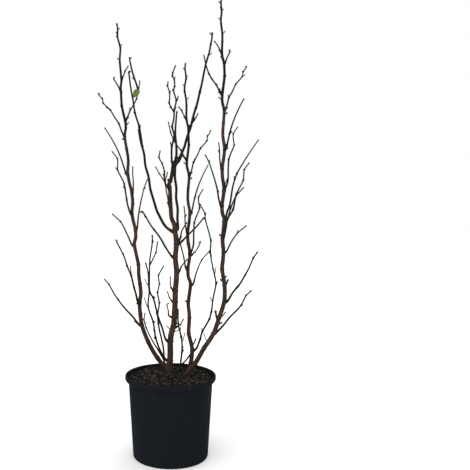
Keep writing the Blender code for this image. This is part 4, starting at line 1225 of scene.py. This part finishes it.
def barked(name, lines, step, sides, relief, ridge_mm, bark, tree):
    """One plain mesh of the bark of many limb lines."""
    points, radii, edges = [], [], []
    for line in lines:
        first = len(radii)
        spots, thick = stationed(line, step)
        points += list(spots)
        radii += list(thick)
        edges += [(index, index + 1) for index in range(first, len(radii) - 1)]
    base = mesh_object(name + "_lines", points, edges=edges)
    store(base, "radius", "FLOAT", np.array(radii, np.float32) * MM)
    return made_by(tree, name, base, {"Sides": sides, "Relief": relief,
                                      "Ridge Size": 1.0 / (ridge_mm * MM), "Bark": bark})


def planted(name, seats, piece, material, tree):
    """One plain mesh of a small piece set at many seats."""
    base = mesh_object(name + "_seats", [seat.point for seat in seats])
    store(base, "way", "FLOAT_VECTOR", [seat.way for seat in seats])
    store(base, "side", "FLOAT_VECTOR", [seat.turn for seat in seats])
    store(base, "size", "FLOAT_VECTOR", [(seat.radius, seat.radius, seat.length) for seat in seats])
    return made_by(tree, name, base, {"Piece": piece, "Finish": material})


def around(count):
    """Even angles round a turn."""
    return [2.0 * math.pi * side / count for side in range(count)]


def lofted(rings):
    """Closed mesh through rings of equal count, from a point at each end."""
    sides = len(rings[0])
    verts = [vert for ring in rings for vert in ring]
    pairs = [(side, (side + 1) % sides) for side in range(sides)]
    faces = [(low + a, low + b, low + sides + b, low + sides + a)
             for low in range(0, (len(rings) - 1) * sides, sides) for a, b in pairs]
    for first, order in ((0, -1), ((len(rings) - 1) * sides, 1)):
        verts.append(np.mean(verts[first:first + sides], axis=0))
        faces += [(*(first + a, first + b)[::order], len(verts) - 1) for a, b in pairs]
    return verts, faces


def hidden_piece(name, shape):
    """A small piece that a tree sets many times, kept out of the scene."""
    mesh = new_mesh(name, *shape)
    mesh.shade_smooth()
    return bpy.data.objects.new(name, mesh)


def bud_shape():
    """A bud of unit length and radius: pointed, a little bowed, with one scale lapping the next."""
    profile = ((-0.12, 0.35), (0.0, 0.62), (0.12, 0.88), (0.28, 1.0), (0.45, 0.95), (0.62, 0.76),
               (0.78, 0.5), (0.9, 0.26), (0.97, 0.12), (1.0, 0.04))
    rings = []
    for up, wide in profile:
        laps = [wide * (1.0 + 0.1 * ((side + round(up * 6)) % 6 == 0) * (0.1 < up < 0.9))
                for side in range(12)]
        rings.append([(lap * math.cos(angle) - 0.18 * up * up, 0.88 * lap * math.sin(angle), up)
                      for lap, angle in zip(laps, around(12))])
    return lofted(rings)


def scar_shape():
    """A leaf scar: a low shield a little over 2 mm wide, lying on the wood. Its Z is outwards."""
    return lofted([[(share * 0.75 * math.cos(angle),
                     share * 1.15 * math.sin(angle) * (1.0 + 0.25 * math.cos(angle)), up)
                    for angle in around(10)]
                   for up, share in ((-0.5, 1.0), (0.05, 1.0), (0.28, 0.8), (0.3, 0.3))])


def chip_shape(rng, length, width, thick):
    """A torn chip of composted bark."""
    rough = [rng.uniform(0.7, 1.15) for _ in range(7)]
    rings = []
    for up, share in ((-0.5, 0.8), (0.0, 1.0), (0.5, 0.75)):
        ring = []
        for torn, angle in zip(rough, around(7)):
            reach = 0.5 * share * torn * rng.uniform(0.92, 1.08)
            ring.append((length * reach * math.cos(angle), width * reach * math.sin(angle),
                         thick * (up + rng.uniform(-0.15, 0.15))))
        rings.append(ring)
    return lofted(rings)


def fibre_shape(rng, length, thick):
    """A fine root or stalk of straw, bent at random."""
    points = [np.zeros(3)]
    way = 0.0
    for _ in range(6):
        way += rng.uniform(-0.5, 0.5)
        step = np.array([math.cos(way), math.sin(way), rng.uniform(-0.12, 0.2)])
        points.append(points[-1] + step * length / 6.0)
    return lofted([[point + np.array([0.0, math.cos(angle), math.sin(angle)]) * thick * (0.5 - 0.05 * index)
                    for angle in around(4)] for index, point in enumerate(points)])


def leaf_shape():
    """A pointed leaf blade of unit length with a closed edge, folded along its midrib."""
    rows, columns = 9, 5
    verts, faces = [], []
    for layer in (0.5, -0.5):
        for row in range(rows + 1):
            share = row / rows
            half = math.sin(math.pi * min(1.0, share ** 0.8 * 1.02)) ** 0.8 + 0.04
            verts += [(side * half, layer * LEAF_THICK + abs(side) * half * LEAF_FOLD, share)
                      for side in (-1.0, -0.5, 0.0, 0.5, 1.0)]
    count = (rows + 1) * columns
    for row in range(rows):
        for a in range(row * columns, row * columns + columns - 1):
            quad = (a, a + columns, a + columns + 1, a + 1)
            faces += [quad, tuple(count + v for v in quad[::-1])]
    rim = [row * columns for row in range(rows + 1)]
    rim += [rows * columns + column for column in range(1, columns)]
    rim += [row * columns + columns - 1 for row in range(rows - 1, -1, -1)]
    rim += range(columns - 2, 0, -1)
    faces += [(a, a + count, b + count, b) for a, b in zip(rim, rim[1:] + rim[:1])]
    return verts, faces


def turned(profile, segments):
    """A solid turned round the Z axis from a profile of radii and heights."""
    return lofted([[(radius * math.cos(angle), radius * math.sin(angle), height)
                    for angle in around(segments)] for radius, height in profile])


def body_radius(height):
    """Outer radius of the pot's tapering body."""
    return POT_BASE_RADIUS + (POT_NECK_RADIUS - POT_BASE_RADIUS) * height / POT_NECK_HEIGHT


def arc(side, height, radius, start, end, count):
    """Points of an arc round a centre, in degrees."""
    return [(side + radius * math.cos(angle), height + radius * math.sin(angle))
            for angle in np.radians(np.linspace(start, end, count))]


def pot_profile():
    """Underside, rounded foot, body, flared lip with its rolled edge, inner wall and floor."""
    inner_edge = POT_RIM_RADIUS - 2.0 * POT_RIM_ROLL
    neck = POT_NECK_RADIUS - POT_WALL
    return [(0.5 * POT_BASE_RADIUS, 0.0),
            *arc(POT_BASE_RADIUS - POT_FOOT_ROUND + 0.25, POT_FOOT_ROUND, POT_FOOT_ROUND, -90.0, -3.5, 8),
            *[(body_radius(height), height) for height in np.linspace(14.0, POT_NECK_HEIGHT - 4.0, 14)],
            *arc(POT_NECK_RADIUS + POT_COVE, POT_NECK_HEIGHT - 0.5, POT_COVE, 176.0, 95.0, 7),
            *arc(POT_RIM_RADIUS - POT_LIP_ROUND, POT_NECK_HEIGHT + 3.0 + POT_LIP_ROUND, POT_LIP_ROUND,
                 -80.0, 0.0, 8),
            *arc(POT_RIM_RADIUS - POT_RIM_ROLL, POT_HEIGHT - POT_RIM_ROLL, POT_RIM_ROLL, 0.0, 180.0, 13),
            (inner_edge, POT_HEIGHT - 6.0), (inner_edge - 1.0, POT_HEIGHT - 9.5),
            (neck + 2.6, POT_HEIGHT - 13.0), (neck + 0.8, POT_HEIGHT - 16.5),
            *[(body_radius(height) - POT_WALL, height)
              for height in (POT_NECK_HEIGHT, 150.0, 70.0, POT_FLOOR)]]


def soil_profile():
    """The filling inside the pot's wall, level round the stems and lower at its edge."""
    inside = POT_WALL + GAP
    bottom = POT_FLOOR + GAP
    edge = POT_NECK_RADIUS - inside + 0.8
    profile = [(body_radius(bottom) - inside, bottom), (POT_NECK_RADIUS - inside, POT_NECK_HEIGHT),
               (edge, SOIL_LEVEL - SOIL_EDGE_DROP - 1.5)]
    for radius in np.arange(edge, 2.0, -SOIL_RING_STEP):
        share = np.clip((radius - SOIL_PLATEAU) / (edge - SOIL_PLATEAU), 0.0, 1.0)
        profile.append((float(radius), SOIL_LEVEL - SOIL_EDGE_DROP * float(share)))
    return profile


def dressed(piece, slot, *nodes):
    """Hangs a finished piece on the root body, and hides the named parts."""
    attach(piece, "root")
    if nodes:
        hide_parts(*nodes)


def add_pot():
    pot = mesh_object("nursery_pot", *turned(pot_profile(), POT_SEGMENTS))
    pot.data.materials.append(moulded_polypropylene())
    pot.data.shade_smooth()
    pot.data.set_sharp_from_angle(angle=POT_SHARP_ANGLE)
    dressed(pot, "pot", "pot")


def add_potting_mix():
    """The crumbly surface, then bark chips, crumbs, pale flecks and fine roots scattered on it."""
    rng = random.Random(DETAIL_SEED + 1)
    verts, faces = turned(soil_profile(), SOIL_SEGMENTS)
    base = mesh_object("mix_base", verts, faces)
    heights = np.array([vert[2] for vert in verts])
    store(base, "loose", "FLOAT", np.clip((heights - LOOSE_FROM) / LOOSE_OVER, 0.0, 1.0))
    peat = potting_mix_finish("damp_peat", "#0c0c0c", "#1e1c1a", 3.0)
    mix = made_by(relief_tree(), "potting_mix", base, {"Clods": CLODS[-1] * MM,
                                                       "Crumbs": CRUMBS[-1] * MM, "Soil": peat})
    dressed(mix, "potting_soil", "potting_soil")
    tree = scatter_tree()
    kinds = (
        ("bark_chips", chip_shape(rng, 9.0, 5.0, 2.2), 4500.0, 0.6, 2.0, 0.5, "#1e1b17", "#453c32"),
        ("peat_crumbs", chip_shape(rng, 4.0, 3.2, 2.6), 26000.0, 0.4, 1.3, 1.5, "#0d0d0c", "#211f1c"),
        ("pale_flecks", chip_shape(rng, 4.5, 2.6, 1.0), 2000.0, 0.6, 1.7, 0.6, "#504b43", "#857e71"),
        ("fine_roots", fibre_shape(rng, 24.0, 0.7), 1100.0, 0.5, 1.4, 0.3, "#4f4a3f", "#7c7566"),
    )
    for seed, (name, shape, count, least, most, tilt, dark, light) in enumerate(kinds, SCATTER_SEED):
        made = made_by(tree, name, soil_bed(mix, name + "_bed"), {
            "Piece": hidden_piece(name + "_one", shape), "Per Square Metre": count,
            "Least Size": least, "Most Size": most, "Tilt": tilt, "Seed": seed,
            "Finish": potting_mix_finish(name + "_finish", dark, light, 2.0)})
        dressed(made, "potting_soil")


def soil_bed(mix, name):
    """A copy of the soil's open surface, for pieces to lie on."""
    faces = [tuple(face.vertices) for face in mix.data.polygons
             if face.center[2] > BED_HEIGHT * MM and math.hypot(*face.center[:2]) < BED_RADIUS * MM]
    return mesh_object(name, [vert.co for vert in mix.data.vertices], faces, scale=1.0)


def add_shrub():
    """The bark of every limb, then the buds, leaf scars and leaves that are set on it."""
    shrub = Shrub()
    fine = FineShrub(shrub)
    lines = fine.lines
    splits = {name: float(np.interp(-CANE_TOP_MASS, -whole.drops, travel_of(whole.points) + FOOT_SINK))
              for name, whole in shrub.canes.items()}
    stems = [part_line(lines[name], 0.0, split) for name, split in splits.items()]
    barks = [
        ("stems", [*stems, lines["centre_stem"]], STEM_STATION, STEM_SIDES, 0.16, 2.2,
         young_magnolia_bark("young_magnolia_bark", 2.0, 3.0), "bark",
         ("right_stem", "middle_stem", "left_stem", "centre_stem")),
        ("leader", [lines["leader_bough"]], STEM_STATION, BOUGH_SIDES, 0.12, 2.0,
         young_magnolia_bark("leader_magnolia_bark", 0.83, 0.9), "bark", ("leader_bough",)),
        ("boughs", [lines[name] for name in SIDE_BOUGHS], STEM_STATION, BOUGH_SIDES, 0.12, 2.0,
         young_magnolia_bark("greening_magnolia_bark", 0.66, 0.73), "bark", SIDE_BOUGHS)]
    for name, whole in shrub.canes.items():
        top = part_line(lines[name], splits[name] - 1.0, lines[name].travel[-1])
        turning = (at_drop(whole, drop)[0][2] * MM for drop in CANE_COLOUR_DROPS)
        barks.append((name + "_top", [top], TWIG_STATION, TOP_SIDES, 0.1, 2.0,
                      young_magnolia_bark(name + "_bark", *turning), "twigs",
                      (name.replace("cane", "top_twigs"),)))
    twig = twig_bark()
    side_lines = [lines[name] for name in fine.knots if not name.endswith("top_twigs")]
    side_masses = [name for name in shrub.masses if not name.endswith("top_twigs")]
    barks += [("side_twigs", side_lines, TWIG_STATION, TWIG_SIDES, 0.1, 1.6, twig, "twigs", side_masses),
              ("spurs", fine.spurs, SPUR_STATION, SPUR_SIDES, 0.1, 1.4, twig, "twigs", ())]
    tree = bark_tree()
    for *sizes, slot, nodes in barks:
        dressed(barked(*sizes, tree), slot, *nodes)
    fork = lines["left_top_fork"].points[3]
    green_leaf = Seat(fork + (2.0, -2.5, 5.0), unit(np.array([-0.6, -0.2, -1.0])), 35.0, 9.5,
                      np.array([1.0, -0.15, -0.6]))
    bud = hidden_piece("one_bud", bud_shape())
    leaf = hidden_piece("one_leaf", leaf_shape())
    dark = downy_bud_scale("dark_bud_scale", "#1e1b14", "#3a3526")
    tree = planting_tree()
    for name, seats, piece, material in (
            ("side_buds", fine.buds, bud, dark),
            ("end_buds", fine.end_buds[1::3] + fine.end_buds[2::3], bud, dark),
            ("olive_end_buds", fine.end_buds[::3], bud,
             downy_bud_scale("olive_bud_scale", "#3a3e22", "#63673c")),
            ("leaf_scars", fine.scars, hidden_piece("one_scar", scar_shape()), dark),
            ("opening_leaf_tips", fine.leaves, leaf, first_leaf_green("opening_leaf", "#3d4227", "#6a7048")),
            ("green_leaf", [green_leaf], leaf, first_leaf_green("first_leaf", "#465a1c", "#6b7f30"))):
        dressed(planted(name, seats, piece, material, tree), "twigs")


def add_floor():
    corners = [(x * FLOOR_REACH, y * FLOOR_REACH, 0.0) for x, y in ((-1, -1), (1, -1), (1, 1), (-1, 1))]
    floor = mesh_object("studio_floor", corners, [(0, 1, 2, 3)])
    floor.data.materials.append(studio_paper())


def add_studio():
    """White paper all round, and broad lights that shine from their places on to the shrub."""
    world = bpy.data.worlds.new("white_studio")
    bpy.context.scene.world = world
    world.use_nodes = True
    world.node_tree.nodes["Background"].inputs["Color"].default_value = (1.0, 1.0, 1.0, 1.0)
    world.cycles_visibility.diffuse = False
    world.cycles_visibility.glossy = False
    for name, place, strength, width in LIGHTS:
        lamp = bpy.data.lights.new(name, "SUN")
        lamp.energy = strength
        lamp.angle = math.radians(width)
        made = shown(name, lamp)
        made.location = place
        way = Vector(LIT_SPOT) - Vector(place)
        made.rotation_euler = way.to_track_quat("-Z", "Y").to_euler()
        made.visible_camera = False
    bpy.context.scene.view_settings.view_transform = "Standard"


def add_camera():
    lens = bpy.data.cameras.new("camera")
    lens.lens = CAMERA_LENS
    lens.shift_x, lens.shift_y = CAMERA_SHIFT
    camera = shown("camera", lens)
    camera.location = (0.0, -CAMERA_DISTANCE, CAMERA_HEIGHT)
    camera.rotation_euler = (math.radians(90.0) - CAMERA_PITCH, 0.0, 0.0)
    bpy.context.scene.camera = camera


add_camera()
add_studio()
add_floor()
add_pot()
add_potting_mix()
add_shrub()
